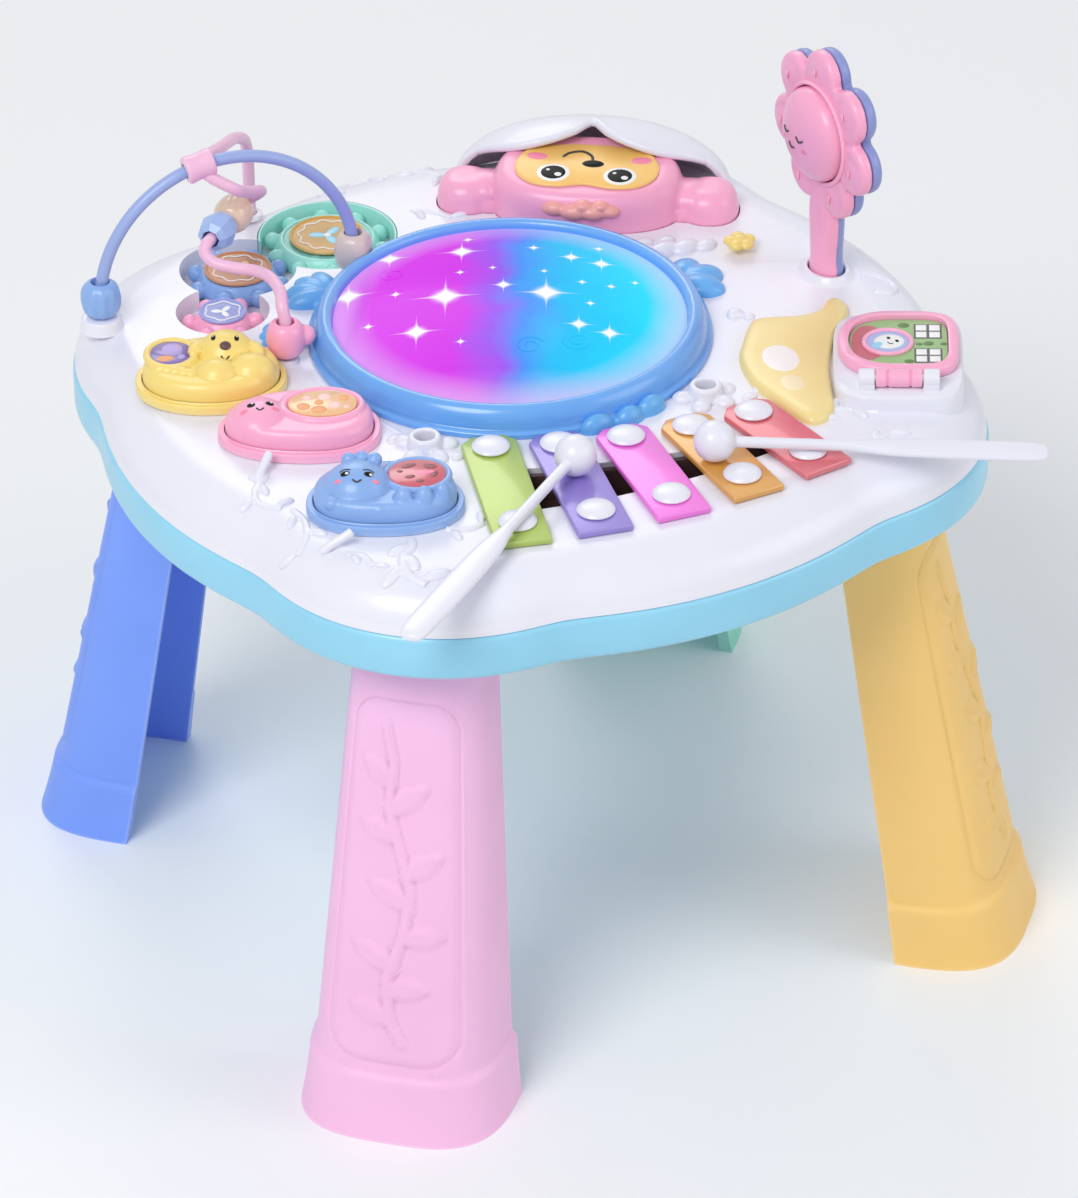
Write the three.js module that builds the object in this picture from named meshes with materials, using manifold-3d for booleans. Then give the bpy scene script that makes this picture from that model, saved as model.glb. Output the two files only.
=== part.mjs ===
// A musical activity table for a small child: a round lobed table top on four channel legs,
// with a light-up drum, a chime bar row, meshed gears, bead wires, press keys, a flip door,
// a lift-out rattle and two loose mallets. Millimetres, +Z up, origin on the floor below the
// middle of the table top. The chime bars are on the -Y side and the monkey is on the +X +Y side.
import * as THREE from 'three';
import { mergeVertices } from 'three/addons/utils/BufferGeometryUtils.js';
import Module from 'manifold-3d';

const wasm = await Module();
wasm.setup();

// Fits shared by all pieces
const gap = 0.3;
const slideGap = 0.5;
const cutOverrun = 2;

// Housing: rim outline, band, shell
const tableRadius = 185;
const lobeCentre = 120;
const lobeRadius = 83.5;
const creaseRound = 5;
const undersideHeight = 221;
const bandHeight = 20;
const shoulderRise = 21;
const shoulderReach = 26;
const shellWall = 2.6;
const trayWall = 2.6;
const rimStep = 1;
const socketWall = 2.4;

// Legs
const footSpread = 179.4;
const topSpread = 144.2;
const footHalfWidth = 43;
const topHalfWidth = 28.6;
const footDepth = 47;
const topDepth = 34;
const legWall = 2.8;
const footRingHeight = 28;
const footRingStep = 2.2;
const legPlugLength = 34;
const legPlugWidth = 14;
const legPlugHeight = 11;
const legTopPlate = 3;
const legFullness = 3.2;

// Drum
const drumOffset = 14;
const padRadius = 77;
const padSkirt = 11;
const padWall = 2.2;
const padCrown = 8;
const padTravel = 2;
const ringWidth = 11;
const ringHeight = 13;
const ringCollar = 3;
const collarDepth = 9;
const ringLedge = 6;
const finHeight = 6;
const padEdgeDrop = 3;
const lightBoardRadius = 66;
const lightBoardWall = 1.6;
const lightCount = 8;
const lightRadius = 4;
const lightHeight = 4;
const lightCircle = 44;

// Chime bars, pegs and mallets
const barCount = 5;
const barWidth = 24;
const barWall = 3;
const nearRowRadius = 306.6;
const nearRowCentreX = 19;
const nearRowCentreY = 165.2;
const farRowRadius = 276.1;
const farRowCentreX = 72.5;
const farRowCentreY = 175.9;
const nearRowStart = -107.65;
const nearRowStep = 6.3;
const farRowStart = -117.5;
const farRowStep = 6;
const barNearEnd = 15;
const barFarEnd = 10;
const barCorner = 5;
const pegStemRadius = 3;
const pegHeadRadius = 8.2;
const pegHeadHeight = 3;
const railWidth = 9;
const railHeight = 3;
const resonatorDepth = 14;
const resonatorWall = 1.8;
const resonatorFlange = 3;
const resonatorEndGap = 13;
const malletLength = 142;
const malletBallRadius = 9;
const malletShaftRadius = 2.3;
const malletShaftLength = 60;
const malletGripHalfWidth = 6.5;
const malletGripHeight = 4.6;
const leftBallX = -34.4;
const leftBallY = -105.7;
const leftEndX = -155;
const leftEndY = -181;
const leftEndDrop = 10.5;
const rightBallX = 21.7;
const rightBallY = -125;
const rightEndX = 135;
const rightEndY = -181.5;
const rightEndDrop = 10;

// Gears
const gearModule = 5.4;
const gearTeeth = [10, 8, 6];
const gearHeight = 8.6;
const gearPocketDepth = 10;
const gearPocketGap = 1.7;
const gearBacklash = 0.45;
const gearPostRadius = 4;
const blueGearX = -76;
const blueGearY = 126;
const mintGearBearing = 8;
const pinkGearBearing = -127;
const gearBadgeHeight = 1.2;
const mintBadgeRadius = 17;
const blueBadgeRadius = 15;
const pinkBadgeRadius = 10.4;
const gearTrayWall = 1.2;

// Bead arch, bead wire and beads
const archTube = 2.8;
const archStartX = -150;
const archStartY = 111;
const archEndX = -33;
const archEndY = 97.2;
const archLegHeight = 11;
const archSocketDepth = 8;
const archPostRadius = 9;
const archPostHeight = 5;
const wireTube = 2.8;
const beadBore = 4;
const beadRadius = 9;
const smallBeadRadius = 8.4;
const beadLobeRadius = 4.6;
const lobeTurn = 42;
const lobedBeadTurn = 28;
const wireRearX = -50;
const wireRearY = 165;
const wireFrontX = -94;
const wireFrontY = 43.8;
const wireReach = 60;
const wireRise = 68;
const clipRadius = 6.3;
const clipLength = 13;
const clipAngle = 101;
const threadedX = -88.2;
const threadedY = 111;
const threadedHeight = 34;
const threadedBearing = 219;
const collarRadius = 5.6;
const collarHeight = 2;

// Press keys
const yellowKeyX = -131.5;
const yellowKeyY = 41.5;
const yellowKeyHalfLength = 29.5;
const yellowKeyHalfWidth = 20.5;
const pinkKeyX = -118;
const pinkKeyY = -15;
const pinkKeyHalfLength = 31.5;
const pinkKeyHalfWidth = 18;
const blueKeyX = -113.5;
const blueKeyY = -84.5;
const blueKeyHalfLength = 30;
const blueKeyHalfWidth = 18;
const keyTurn = -28;
const keyRimWidth = 3.2;
const keyRimHeight = 4.6;
const keyHeight = 12.5;
const keyTravel = 3;
const keyStemRadius = 5;
const keyStemLength = 16;
const windowHeight = 1.2;

// Monkey and hood
const monkeyX = 86;
const monkeyY = 98;
const monkeyBearing = -35.6;
const headHalfWidth = 43;
const headHalfDepth = 26;
const headHeight = 20;
const headTravel = 5;
const headPocketDepth = 7;
const earReach = 55;
const earHalfWidth = 13;
const earHalfDepth = 14.5;
const earHeight = 13;
const facePlateHeight = 1.2;
const hoodHalfWidth = 63;
const hoodHalfDepth = 33;
const hoodSetBack = 19;
const hoodHeight = 31;
const hoodWall = 3;

// Flower button, banana panel, holders
const buttonX = 124;
const buttonY = 28;
const buttonRadius = 6.4;
const buttonHeight = 4.4;
const buttonTravel = 1.5;
const buttonStemRadius = 3;
const bananaX = 94.2;
const bananaY = -66.2;
const bananaTurn = 54;
const bananaHalfLength = 53;
const bananaWidth = 38;
const bananaPocketDepth = 1.4;
const bananaHeight = 5.5;
const leftHolderX = -77;
const leftHolderY = -51;
const rightHolderX = 47;
const rightHolderY = -74;
const holderHeight = 7;
const holderRadius = 7.2;
const holderBore = 4.2;

// Flip door and its block
const doorX = 116.5;
const doorY = -118.5;
const doorBearing = -31;
const doorHalfWidth = 26;
const doorDepth = 50;
const doorFrontGap = 6;
const doorWall = 5;
const doorFrameWidth = 4.5;
const doorPictureWall = 1.4;
const doorBlockHeight = 7.5;
const doorBlockMargin = 2;
const doorBlockFront = 9;
const doorPinRadius = 1.5;
const doorPinGap = 0.35;
const doorBarrelRadius = 4;
const doorBarrelLength = 20;
const doorKnuckleLength = 7;

// Rattle
const rattleX = 147;
const rattleY = -8;
const rattleTurn = -90;
const rattleHandleDepth = 22;
const rattleHandleHalfWidth = 9.5;
const rattleHalfThickness = 7;
const rattleStemHeight = 38;
const rattlePetalCircle = 27;
const rattlePetalRadius = 12.5;
const rattlePetals = 7;
const rattleFaceRadius = 21.5;
const rattleFaceBulge = 10;
const socketBossHeight = 3;

// Inside: board, speaker, batteries, switch
const boardLength = 70;
const boardWidth = 34;
const boardWall = 1.6;
const boardX = 105;
const boardY = 20;
const standoffHeight = 8;
const standoffRadius = 3.5;
const speakerRadius = 19;
const speakerHeight = 9;
const speakerX = -120;
const speakerY = -30;
const batteryRadius = 7.1;
const batteryLength = 50;
const batteryCount = 3;
const batteryPitch = 15.4;
const batteryBayGap = 1.2;
const batteryDoorWall = 2;
const latchTab = 9;
const switchX = 52;
const switchTravel = 4;
const switchLength = 10;
const switchWidth = 6;
const switchPlateReach = 5;
const switchPlateWall = 2.7;
const grilleHole = 2.2;
const grilleHoles = 6;

// Worked out from the sizes above
const bandTop = undersideHeight + bandHeight;
const plateauTop = bandTop + shoulderRise;
const trayFloorTop = undersideHeight + trayWall;
const diagonal = Math.PI / 4;
const drumHole = padRadius + slideGap + ringCollar + gap;

// Helpers: closed shapes and the joins between them

function closedSolid(positions, triangles) {
  let volume = 0;
  for (const [a, b, c] of triangles) {
    volume += positions[a].dot(positions[b].clone().cross(positions[c]));
  }
  const facing = volume < 0 ? triangles.map(([a, b, c]) => [a, c, b]) : triangles;
  return new wasm.Manifold(new wasm.Mesh({
    numProp: 3,
    vertProperties: new Float32Array(positions.flatMap((p) => [p.x, p.y, p.z])),
    triVerts: new Uint32Array(facing.flat()),
  }));
}

function fromGeometry(source) {
  source.deleteAttribute('normal');
  source.deleteAttribute('uv');
  const geometry = mergeVertices(source, 1e-4);
  const place = geometry.getAttribute('position');
  const positions = [];
  for (let i = 0; i < place.count; i += 1) {
    positions.push(new THREE.Vector3().fromBufferAttribute(place, i));
  }
  const index = Array.from(geometry.getIndex().array);
  const triangles = [];
  for (let i = 0; i < index.length; i += 3) {
    const [a, b, c] = index.slice(i, i + 3);
    if (a !== b && b !== c && a !== c) {
      triangles.push([a, b, c]);
    }
  }
  return closedSolid(positions, triangles);
}

function joined(solids) {
  return solids.reduce((whole, next) => whole.add(next));
}

function without(solid, cutters) {
  return cutters.reduce((whole, next) => whole.subtract(next), solid);
}

// Outlines are lists of Vector2 that run anticlockwise seen from above.

function circle(radius, steps = 24) {
  return Array.from({ length: steps }, (_, i) => {
    const angle = (2 * Math.PI * i) / steps;
    return new THREE.Vector2(radius * Math.cos(angle), radius * Math.sin(angle));
  });
}

// A superellipse: fullness 2 is an ellipse and larger values fill the corners.
// A taper above 0 makes the +X end wider than the -X end.
function rounded(halfLength, halfWidth, fullness = 2, steps = 24, taper = 0) {
  const power = 2 / fullness;
  return circle(1, steps).map(({ x, y }) => {
    const along = Math.sign(x) * Math.abs(x) ** power;
    const across = Math.sign(y) * Math.abs(y) ** power;
    return new THREE.Vector2(halfLength * along, halfWidth * across * (1 + taper * along));
  });
}

function scalloped(radius, ripple, count, steps) {
  return circle(1, steps).map(({ x, y }) => {
    const angle = Math.atan2(y, x);
    const reach = radius + ripple * Math.cos(count * angle);
    return new THREE.Vector2(reach * x, reach * y);
  });
}

function grown(outline, distance) {
  const count = outline.length;
  return outline.map((point, i) => {
    const before = outline[(i + count - 1) % count];
    const after = outline[(i + 1) % count];
    const inward = point.clone().sub(before).normalize();
    const onward = after.clone().sub(point).normalize();
    const normal = new THREE.Vector2(inward.y + onward.y, -inward.x - onward.x).normalize();
    const spread = Math.max(0.5, normal.dot(new THREE.Vector2(onward.y, -onward.x)));
    return point.clone().addScaledVector(normal, distance / spread);
  });
}

function placed(outline, x, y, angle = 0) {
  return outline.map((point) => point.clone().rotateAround(new THREE.Vector2(), angle)
    .add(new THREE.Vector2(x, y)));
}

// A stack of level sections with the same number of points, closed at both ends.
function loft(sections) {
  const count = sections[0].outline.length;
  const positions = [];
  const triangles = [];
  sections.forEach(({ outline, z }) => {
    outline.forEach((point, i) => {
      const height = typeof z === 'function' ? z(point, i) : z;
      positions.push(new THREE.Vector3(point.x, point.y, height));
    });
  });
  for (let level = 0; level + 1 < sections.length; level += 1) {
    for (let i = 0; i < count; i += 1) {
      const a = level * count + i;
      const b = level * count + ((i + 1) % count);
      triangles.push([a, b, b + count], [a, b + count, a + count]);
    }
  }
  const top = (sections.length - 1) * count;
  for (const [a, b, c] of THREE.ShapeUtils.triangulateShape(sections[0].outline, [])) {
    triangles.push([a, c, b]);
  }
  for (const [a, b, c] of THREE.ShapeUtils.triangulateShape(sections.at(-1).outline, [])) {
    triangles.push([top + a, top + b, top + c]);
  }
  return closedSolid(positions, triangles);
}

function slab(outline, low, high) {
  return loft([{ outline, z: low }, { outline, z: high }]);
}

// A form that follows an outline: each step of the profile is a share of the outline's reach
// and a height, and tilt lifts the form along +Y by its own slope.
function crowned(outline, profile, tilt = 0) {
  const low = profile[0][1];
  const high = profile.at(-1)[1];
  return loft(profile.map(([share, height]) => ({
    outline: outline.map((point) => point.clone().multiplyScalar(share)),
    z: (point) => height + (tilt * point.y * (height - low)) / (high - low),
  })));
}

function turned(profile, segments = 24) {
  const points = profile.map(([radius, height]) => new THREE.Vector2(radius, height));
  return fromGeometry(new THREE.LatheGeometry(points, segments).rotateX(Math.PI / 2));
}

function rod(radius, low, high, segments = 16) {
  return slab(circle(radius, segments), low, high);
}

// A low mound on a level base, as moulded reliefs and soft corners have.
function mound(halfLength, halfWidth, low, high, segments = 16, steps = 4) {
  const outline = rounded(halfLength, halfWidth, 2, segments);
  const profile = Array.from({ length: steps }, (_, i) => {
    const angle = (Math.PI / 2) * (i / steps);
    return [Math.cos(angle), low + (high - low) * Math.sin(angle)];
  });
  return crowned(outline, profile);
}

function moved(solid, x, y, z = 0, degrees = 0) {
  return solid.rotate([0, 0, degrees]).translate([x, y, z]);
}

function plastic(color, roughness = 0.42) {
  return new THREE.MeshStandardMaterial({ color, roughness, metalness: 0 });
}

function metal(color) {
  return new THREE.MeshStandardMaterial({ color, roughness: 0.35, metalness: 1 });
}

function piece(name, solid, material, holder) {
  const { vertProperties, triVerts } = solid.getMesh();
  const geometry = new THREE.BufferGeometry();
  geometry.setAttribute('position', new THREE.BufferAttribute(vertProperties, 3));
  geometry.setIndex(new THREE.BufferAttribute(triVerts, 1));
  geometry.computeVertexNormals();
  const mesh = new THREE.Mesh(geometry, material);
  mesh.name = name;
  holder.add(mesh);
  return mesh;
}

function station(x, y, z = 0, degrees = 0) {
  const group = new THREE.Group();
  group.position.set(x, y, z);
  group.rotation.z = THREE.MathUtils.degToRad(degrees);
  table.add(group);
  return group;
}

const table = new THREE.Group();

const white = plastic(0xf0eef8, 0.4);
const skyBlue = plastic(0x92cdeb, 0.38);
const drumBlue = plastic(0x5a9bea, 0.35);
const pink = plastic(0xf79cc4, 0.42);
const palePink = plastic(0xf2c2e6, 0.45);
const yellow = plastic(0xf8da72, 0.42);
const sand = plastic(0xf6d488, 0.45);
const periwinkle = plastic(0x98a6e6, 0.42);
const gearBlue = plastic(0x8cb0e4, 0.42);
const mint = plastic(0x8ce0d2, 0.42);
const beige = plastic(0xdcd0c8);
const cream = plastic(0xe8dccf);
const steel = metal(0xb8bcc4);
const darkPlastic = plastic(0x6a5a5c, 0.6);

// Plan of the table top: a circle joined to a lobe over each leg.
function rimRadius(angle) {
  const quarter = Math.PI / 2;
  const turn = ((angle % quarter) + quarter) % quarter - diagonal;
  const across = lobeCentre * Math.sin(turn);
  const lobe = lobeCentre * Math.cos(turn)
    + Math.sqrt(Math.max(0, lobeRadius * lobeRadius - across * across));
  const apart = lobe - tableRadius;
  return (lobe + tableRadius + Math.sqrt(apart * apart + creaseRound * creaseRound)) / 2;
}

function rimOutline(inset, steps = 64) {
  return circle(1, steps).map(({ x, y }) => {
    const reach = rimRadius(Math.atan2(y, x)) - inset;
    return new THREE.Vector2(reach * x, reach * y);
  });
}

// Chime bar places: each bar runs from its far peg to its near peg.
function rowPoint(centreX, centreY, radius, startDegrees, stepDegrees, share) {
  const angle = THREE.MathUtils.degToRad(startDegrees + stepDegrees * share);
  return new THREE.Vector2(centreX + radius * Math.cos(angle), centreY + radius * Math.sin(angle));
}

function nearPeg(share) {
  return rowPoint(nearRowCentreX, nearRowCentreY, nearRowRadius, nearRowStart, nearRowStep, share);
}

function farPeg(share) {
  return rowPoint(farRowCentreX, farRowCentreY, farRowRadius, farRowStart, farRowStep, share);
}

// The slot below the bars starts before the first bar's middle and ends past the last one's.
const barSlotOverhang = 0.3;
const barSlotStart = -barSlotOverhang;
const barSlotEnd = barCount - 1 + barSlotOverhang;
const barNumbers = Array.from({ length: barCount }, (_, i) => i);
const barLow = plateauTop + gap;
const barTop = barLow + barWall;
const pegTop = barTop + gap + pegHeadHeight;

// Gear places: the blue gear meshes with the mint gear and the pink gear.
const gearRadii = gearTeeth.map((teeth) => (teeth * gearModule) / 2);
const [mintRadius, blueRadius, pinkRadius] = gearRadii;
const toMint = THREE.MathUtils.degToRad(mintGearBearing);
const toPink = THREE.MathUtils.degToRad(pinkGearBearing);
const blueGearPlace = new THREE.Vector2(blueGearX, blueGearY);
const mintGearPlace = new THREE.Vector2(Math.cos(toMint), Math.sin(toMint))
  .multiplyScalar(mintRadius + blueRadius).add(blueGearPlace);
const pinkGearPlace = new THREE.Vector2(Math.cos(toPink), Math.sin(toPink))
  .multiplyScalar(blueRadius + pinkRadius).add(blueGearPlace);
const gearPlaces = [mintGearPlace, blueGearPlace, pinkGearPlace];
const gearLow = plateauTop - gearPocketDepth + gap;
const gearTop = gearLow + gearHeight;
const gearReach = gearModule / 2;

// Tooth outline of rolled arcs: outside the pitch circle for a tooth, inside it for a space.
function gearOutline(teeth, phase) {
  const pitch = (teeth * gearModule) / 2;
  const roller = gearModule / 4;
  const arcSteps = 4;
  const points = [];
  for (let tooth = 0; tooth < teeth; tooth += 1) {
    for (const side of [1, -1]) {
      for (let i = 0; i < arcSteps; i += 1) {
        const roll = (2 * Math.PI * i) / arcSteps;
        const base = phase + (2 * Math.PI * tooth) / teeth - Math.PI / (2 * teeth)
          + (side === 1 ? 0 : Math.PI / teeth);
        const travel = base + (roll * roller) / pitch;
        const centre = pitch + side * roller;
        const spin = travel + side * roll;
        points.push(new THREE.Vector2(
          centre * Math.cos(travel) - side * roller * Math.cos(spin),
          centre * Math.sin(travel) - side * roller * Math.sin(spin),
        ));
      }
    }
  }
  return grown(points, -gearBacklash);
}

// A meshing gear's tooth angle, from its partner's tooth angle and the line between centres.
function meshPhase(partnerTeeth, partnerPhase, bearing, teeth) {
  const drift = (partnerPhase - bearing) * (partnerTeeth / teeth);
  return bearing + Math.PI - drift + Math.PI / teeth;
}

const bluePhase = 0;
const mintPhase = meshPhase(gearTeeth[1], bluePhase, toMint, gearTeeth[0]);
const pinkPhase = meshPhase(gearTeeth[1], bluePhase, toPink, gearTeeth[2]);
const gearPhases = [mintPhase, bluePhase, pinkPhase];

// Keys: places, outlines, windows and lobes. Window and lobe shares are of the key's half
// length, half width and height: X, Y, half length, half width and, for a lobe, its rise.
const keys = [
  {
    name: 'yellow_key', x: yellowKeyX, y: yellowKeyY,
    halfLength: yellowKeyHalfLength, halfWidth: yellowKeyHalfWidth, fullness: 2.1, taper: -0.06,
    windowShares: [-0.61, 0.24, 0.32, 0.46],
    lobeShares: [
      [0.22, 0.34, 0.46, 0.54, 0.72], [0.1, -0.44, 0.34, 0.39, 0.44], [0.59, -0.27, 0.37, 0.41, 0.44],
    ],
    material: yellow, windowMaterial: plastic(0x6a46a8),
  },
  {
    name: 'pink_key', x: pinkKeyX, y: pinkKeyY,
    halfLength: pinkKeyHalfLength, halfWidth: pinkKeyHalfWidth, fullness: 2.3, taper: 0.12,
    windowShares: [0.32, 0.22, 0.44, 0.47],
    lobeShares: [[-0.54, -0.08, 0.38, 0.69, 0.4]],
    material: pink, windowMaterial: plastic(0xe8bf96),
  },
  {
    name: 'blue_key', x: blueKeyX, y: blueKeyY,
    halfLength: blueKeyHalfLength, halfWidth: blueKeyHalfWidth, fullness: 2.3, taper: -0.05,
    windowShares: [0.48, 0.25, 0.35, 0.5],
    lobeShares: [
      [-0.38, -0.03, 0.5, 0.72, 0.72], [0.27, -0.58, 0.15, 0.24, 0.32], [0.55, -0.53, 0.15, 0.24, 0.32],
      [0.78, -0.36, 0.13, 0.21, 0.29],
    ],
    material: gearBlue, windowMaterial: plastic(0xb84a62),
  },
];
const keySteps = 20;
for (const key of keys) {
  key.outline = rounded(key.halfLength, key.halfWidth, key.fullness, keySteps, key.taper);
}
const keyLow = plateauTop + keyTravel + gap;
const keyTop = plateauTop + keyHeight;

// Head outline in the monkey's own frame: x across the ears, y away from the drum.
const headOutline = rounded(headHalfWidth, headHalfDepth, 2.5, 24);
const earOutline = rounded(earHalfWidth, earHalfDepth, 2.3, 12);
const headLow = plateauTop - headPocketDepth + headTravel + gap;

// Banana outline in shares of its half length and its width, about its own middle
const bananaShares = [
  [1, -0.4], [0.88, -0.54], [0.68, -0.55], [0.42, -0.46], [0.15, -0.44], [-0.16, -0.46], [-0.46, -0.52],
  [-0.74, -0.58], [-0.9, -0.54], [-1, -0.4], [-0.95, -0.24], [-0.72, 0.06], [-0.45, 0.38],
  [-0.08, 0.58], [0.2, 0.58], [0.48, 0.54], [0.6, 0.43], [0.67, 0], [0.76, -0.21], [0.86, -0.3],
  [0.96, -0.32],
];
const bananaOutline = bananaShares.map(([along, across]) => new THREE.Vector2(
  along * bananaHalfLength,
  across * bananaWidth,
)).reverse();

const holderPlaces = [
  new THREE.Vector2(leftHolderX, leftHolderY),
  new THREE.Vector2(rightHolderX, rightHolderY),
];

// Door frame outline in the door's own frame: x along the hinge, y away from it.
const doorMiddle = doorFrontGap + doorDepth / 2;
const doorPlate = rounded(doorHalfWidth, doorDepth / 2, 5, 24);
const doorBlockDepth = doorFrontGap + doorDepth + 3 * doorBlockMargin + doorBlockFront;
const doorBlock = rounded(doorHalfWidth + doorBlockMargin, doorBlockDepth / 2, 4, 24);
const doorBlockTop = plateauTop + doorBlockHeight;
const doorPinHeight = doorBlockTop + doorBarrelRadius + gap;

const handleOutline = rounded(rattleHandleHalfWidth, rattleHalfThickness, 2.6, 20);

// The shell's outer or inner form, from the band up over the shoulder to the flat top.
function shellForm(inset, drop) {
  const shoulderSteps = 4;
  const sections = [];
  for (let i = 0; i <= shoulderSteps; i += 1) {
    const angle = (Math.PI / 2) * (i / shoulderSteps);
    sections.push({
      outline: rimOutline(inset + shoulderReach * (1 - Math.cos(angle))),
      z: bandTop + gap + (shoulderRise - gap - drop) * Math.sin(angle),
    });
  }
  return sections;
}

function pocket(outline, depth) {
  const floor = plateauTop - depth;
  return {
    block: slab(grown(outline, socketWall), floor - socketWall, plateauTop - shellWall / 2),
    space: slab(outline, floor, plateauTop + cutOverrun),
  };
}

function topShell() {
  const outer = loft(shellForm(rimStep, 0));
  const inner = shellForm(rimStep + shellWall, shellWall);
  const below = { outline: inner[0].outline, z: bandTop - cutOverrun };
  const shell = outer.subtract(loft([below, ...inner]));
  const blocks = [];
  const spaces = [];

  spaces.push(moved(rod(drumHole, bandTop, plateauTop + cutOverrun, 32), 0, drumOffset));

  gearPlaces.forEach((place, i) => {
    const reach = gearRadii[i] + gearReach + gearPocketGap;
    const { block, space } = pocket(placed(circle(reach, 20), place.x, place.y), gearPocketDepth);
    blocks.push(block);
    spaces.push(space);
  });

  const headPocket = pocket(grown(headOutline, slideGap), headPocketDepth);
  const earPockets = [-1, 1].map((side) => pocket(
    placed(grown(earOutline, slideGap), side * earReach, 0),
    headPocketDepth,
  ));
  for (const { block, space } of [headPocket, ...earPockets]) {
    blocks.push(moved(block, monkeyX, monkeyY, 0, monkeyBearing));
    spaces.push(moved(space, monkeyX, monkeyY, 0, monkeyBearing));
  }

  const banana = pocket(grown(bananaOutline, gap), bananaPocketDepth);
  blocks.push(moved(banana.block, bananaX, bananaY, 0, bananaTurn));
  spaces.push(moved(banana.space, bananaX, bananaY, 0, bananaTurn));

  const above = plateauTop + cutOverrun;
  for (const key of keys) {
    spaces.push(moved(rod(keyStemRadius + slideGap, bandTop, above, 12), key.x, key.y));
  }
  spaces.push(moved(rod(buttonStemRadius + slideGap, bandTop, above, 10), buttonX, buttonY));

  const holderTop = plateauTop + holderHeight;
  for (const place of holderPlaces) {
    const flower = scalloped(holderRadius, holderRadius * 0.13, 5, 20);
    blocks.push(moved(slab(flower, plateauTop - shellWall, holderTop), place.x, place.y));
    spaces.push(moved(rod(holderBore, bandTop, holderTop + cutOverrun, 12), place.x, place.y));
  }

  const doorSeat = crowned(doorBlock, [
    [1, bandTop + bandHeight / 2], [1, doorBlockTop - 2 * gap], [0.98, doorBlockTop],
  ]);
  for (const part of [moved(doorSeat, 0, doorBlockDepth / 2 - doorBlockFront), ...doorKnuckles()]) {
    blocks.push(moved(part, doorX, doorY, 0, doorBearing));
  }

  const socket = grown(handleOutline, slideGap);
  const socketTop = plateauTop + socketBossHeight;
  const socketFloor = plateauTop - rattleHandleDepth - gap;
  const collar = slab(grown(socket, socketWall), socketFloor - socketWall, socketTop);
  const socketSpace = slab(socket, socketFloor, socketTop + cutOverrun);
  blocks.push(moved(collar, rattleX, rattleY, 0, rattleTurn));
  spaces.push(moved(socketSpace, rattleX, rattleY, 0, rattleTurn));

  const archPost = rod(archPostRadius, plateauTop - shoulderRise / 2, plateauTop + archPostHeight, 16);
  blocks.push(moved(archPost, archStartX, archStartY));
  const collarLow = plateauTop - archSocketDepth - socketWall;
  const lowCollar = rod(collarRadius, collarLow, plateauTop + collarHeight, 12);
  for (const [x, y] of [[archEndX, archEndY], [wireFrontX, wireFrontY], [wireRearX, wireRearY]]) {
    blocks.push(moved(lowCollar, x, y));
  }

  barNumbers.forEach((i) => {
    for (const peg of [nearPeg(i), farPeg(i)]) {
      spaces.push(moved(rod(pegStemRadius + gap, bandTop, above, 8), peg.x, peg.y));
    }
  });
  spaces.push(slab(resonatorOutline(0), bandTop, above));

  const posts = gearPlaces.map((place) => moved(
    rod(gearPostRadius, plateauTop - gearPocketDepth - socketWall, gearTop - gearBadgeHeight, 12),
    place.x,
    place.y,
  ));
  const whole = without(joined([shell, ...blocks]), spaces);
  const wireHoles = [
    [archStartX, archStartY, archTube, archPostHeight],
    [archEndX, archEndY, archTube, collarHeight],
    [wireFrontX, wireFrontY, wireTube, collarHeight],
    [wireRearX, wireRearY, wireTube, collarHeight],
  ].map(([x, y, radius, rise]) => moved(
    rod(radius + gap, plateauTop - archSocketDepth, plateauTop + rise + cutOverrun, 8),
    x,
    y,
  ));
  return without(joined([whole, ...posts]), wireHoles);
}

// The opening between the two peg rows, that the resonator tray closes from below.
function resonatorOutline(growth) {
  const steps = 4;
  const near = [];
  const far = [];
  for (let i = 0; i <= steps; i += 1) {
    const share = barSlotStart + ((barSlotEnd - barSlotStart) * i) / steps;
    const from = farPeg(share);
    const to = nearPeg(share);
    const along = to.clone().sub(from).normalize();
    far.push(from.addScaledVector(along, resonatorEndGap));
    near.push(to.addScaledVector(along, -resonatorEndGap));
  }
  return grown([...near, ...far.reverse()], growth);
}

function resonatorTray() {
  const top = plateauTop - shellWall - gap;
  const flange = slab(resonatorOutline(resonatorFlange), top - resonatorWall, top);
  const box = slab(resonatorOutline(-gap), top - resonatorDepth, top);
  const floor = top - resonatorDepth + resonatorWall;
  const space = slab(resonatorOutline(-gap - resonatorWall), floor, top + cutOverrun);
  return flange.add(box).subtract(space);
}

function bar(i) {
  const from = farPeg(i);
  const to = nearPeg(i);
  const span = to.distanceTo(from);
  const halfLength = (span + barNearEnd + barFarEnd) / 2;
  const shift = (barNearEnd - barFarEnd) / 2 + span / 2;
  const half = barWidth / 2;
  const outline = [
    [-halfLength, barCorner - half], [barCorner - halfLength, -half], [halfLength, -half],
    [halfLength, half], [barCorner - halfLength, half], [-halfLength, half - barCorner],
  ].map(([x, y]) => new THREE.Vector2(x + shift, y));
  const holes = [0, span].map((x) => moved(
    rod(pegStemRadius + gap, barLow - cutOverrun, barTop + cutOverrun, 8),
    x,
    0,
  ));
  const solid = without(slab(outline, barLow, barTop), holes);
  const angle = Math.atan2(to.y - from.y, to.x - from.x);
  return { solid, x: from.x, y: from.y, turn: THREE.MathUtils.radToDeg(angle) };
}

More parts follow.
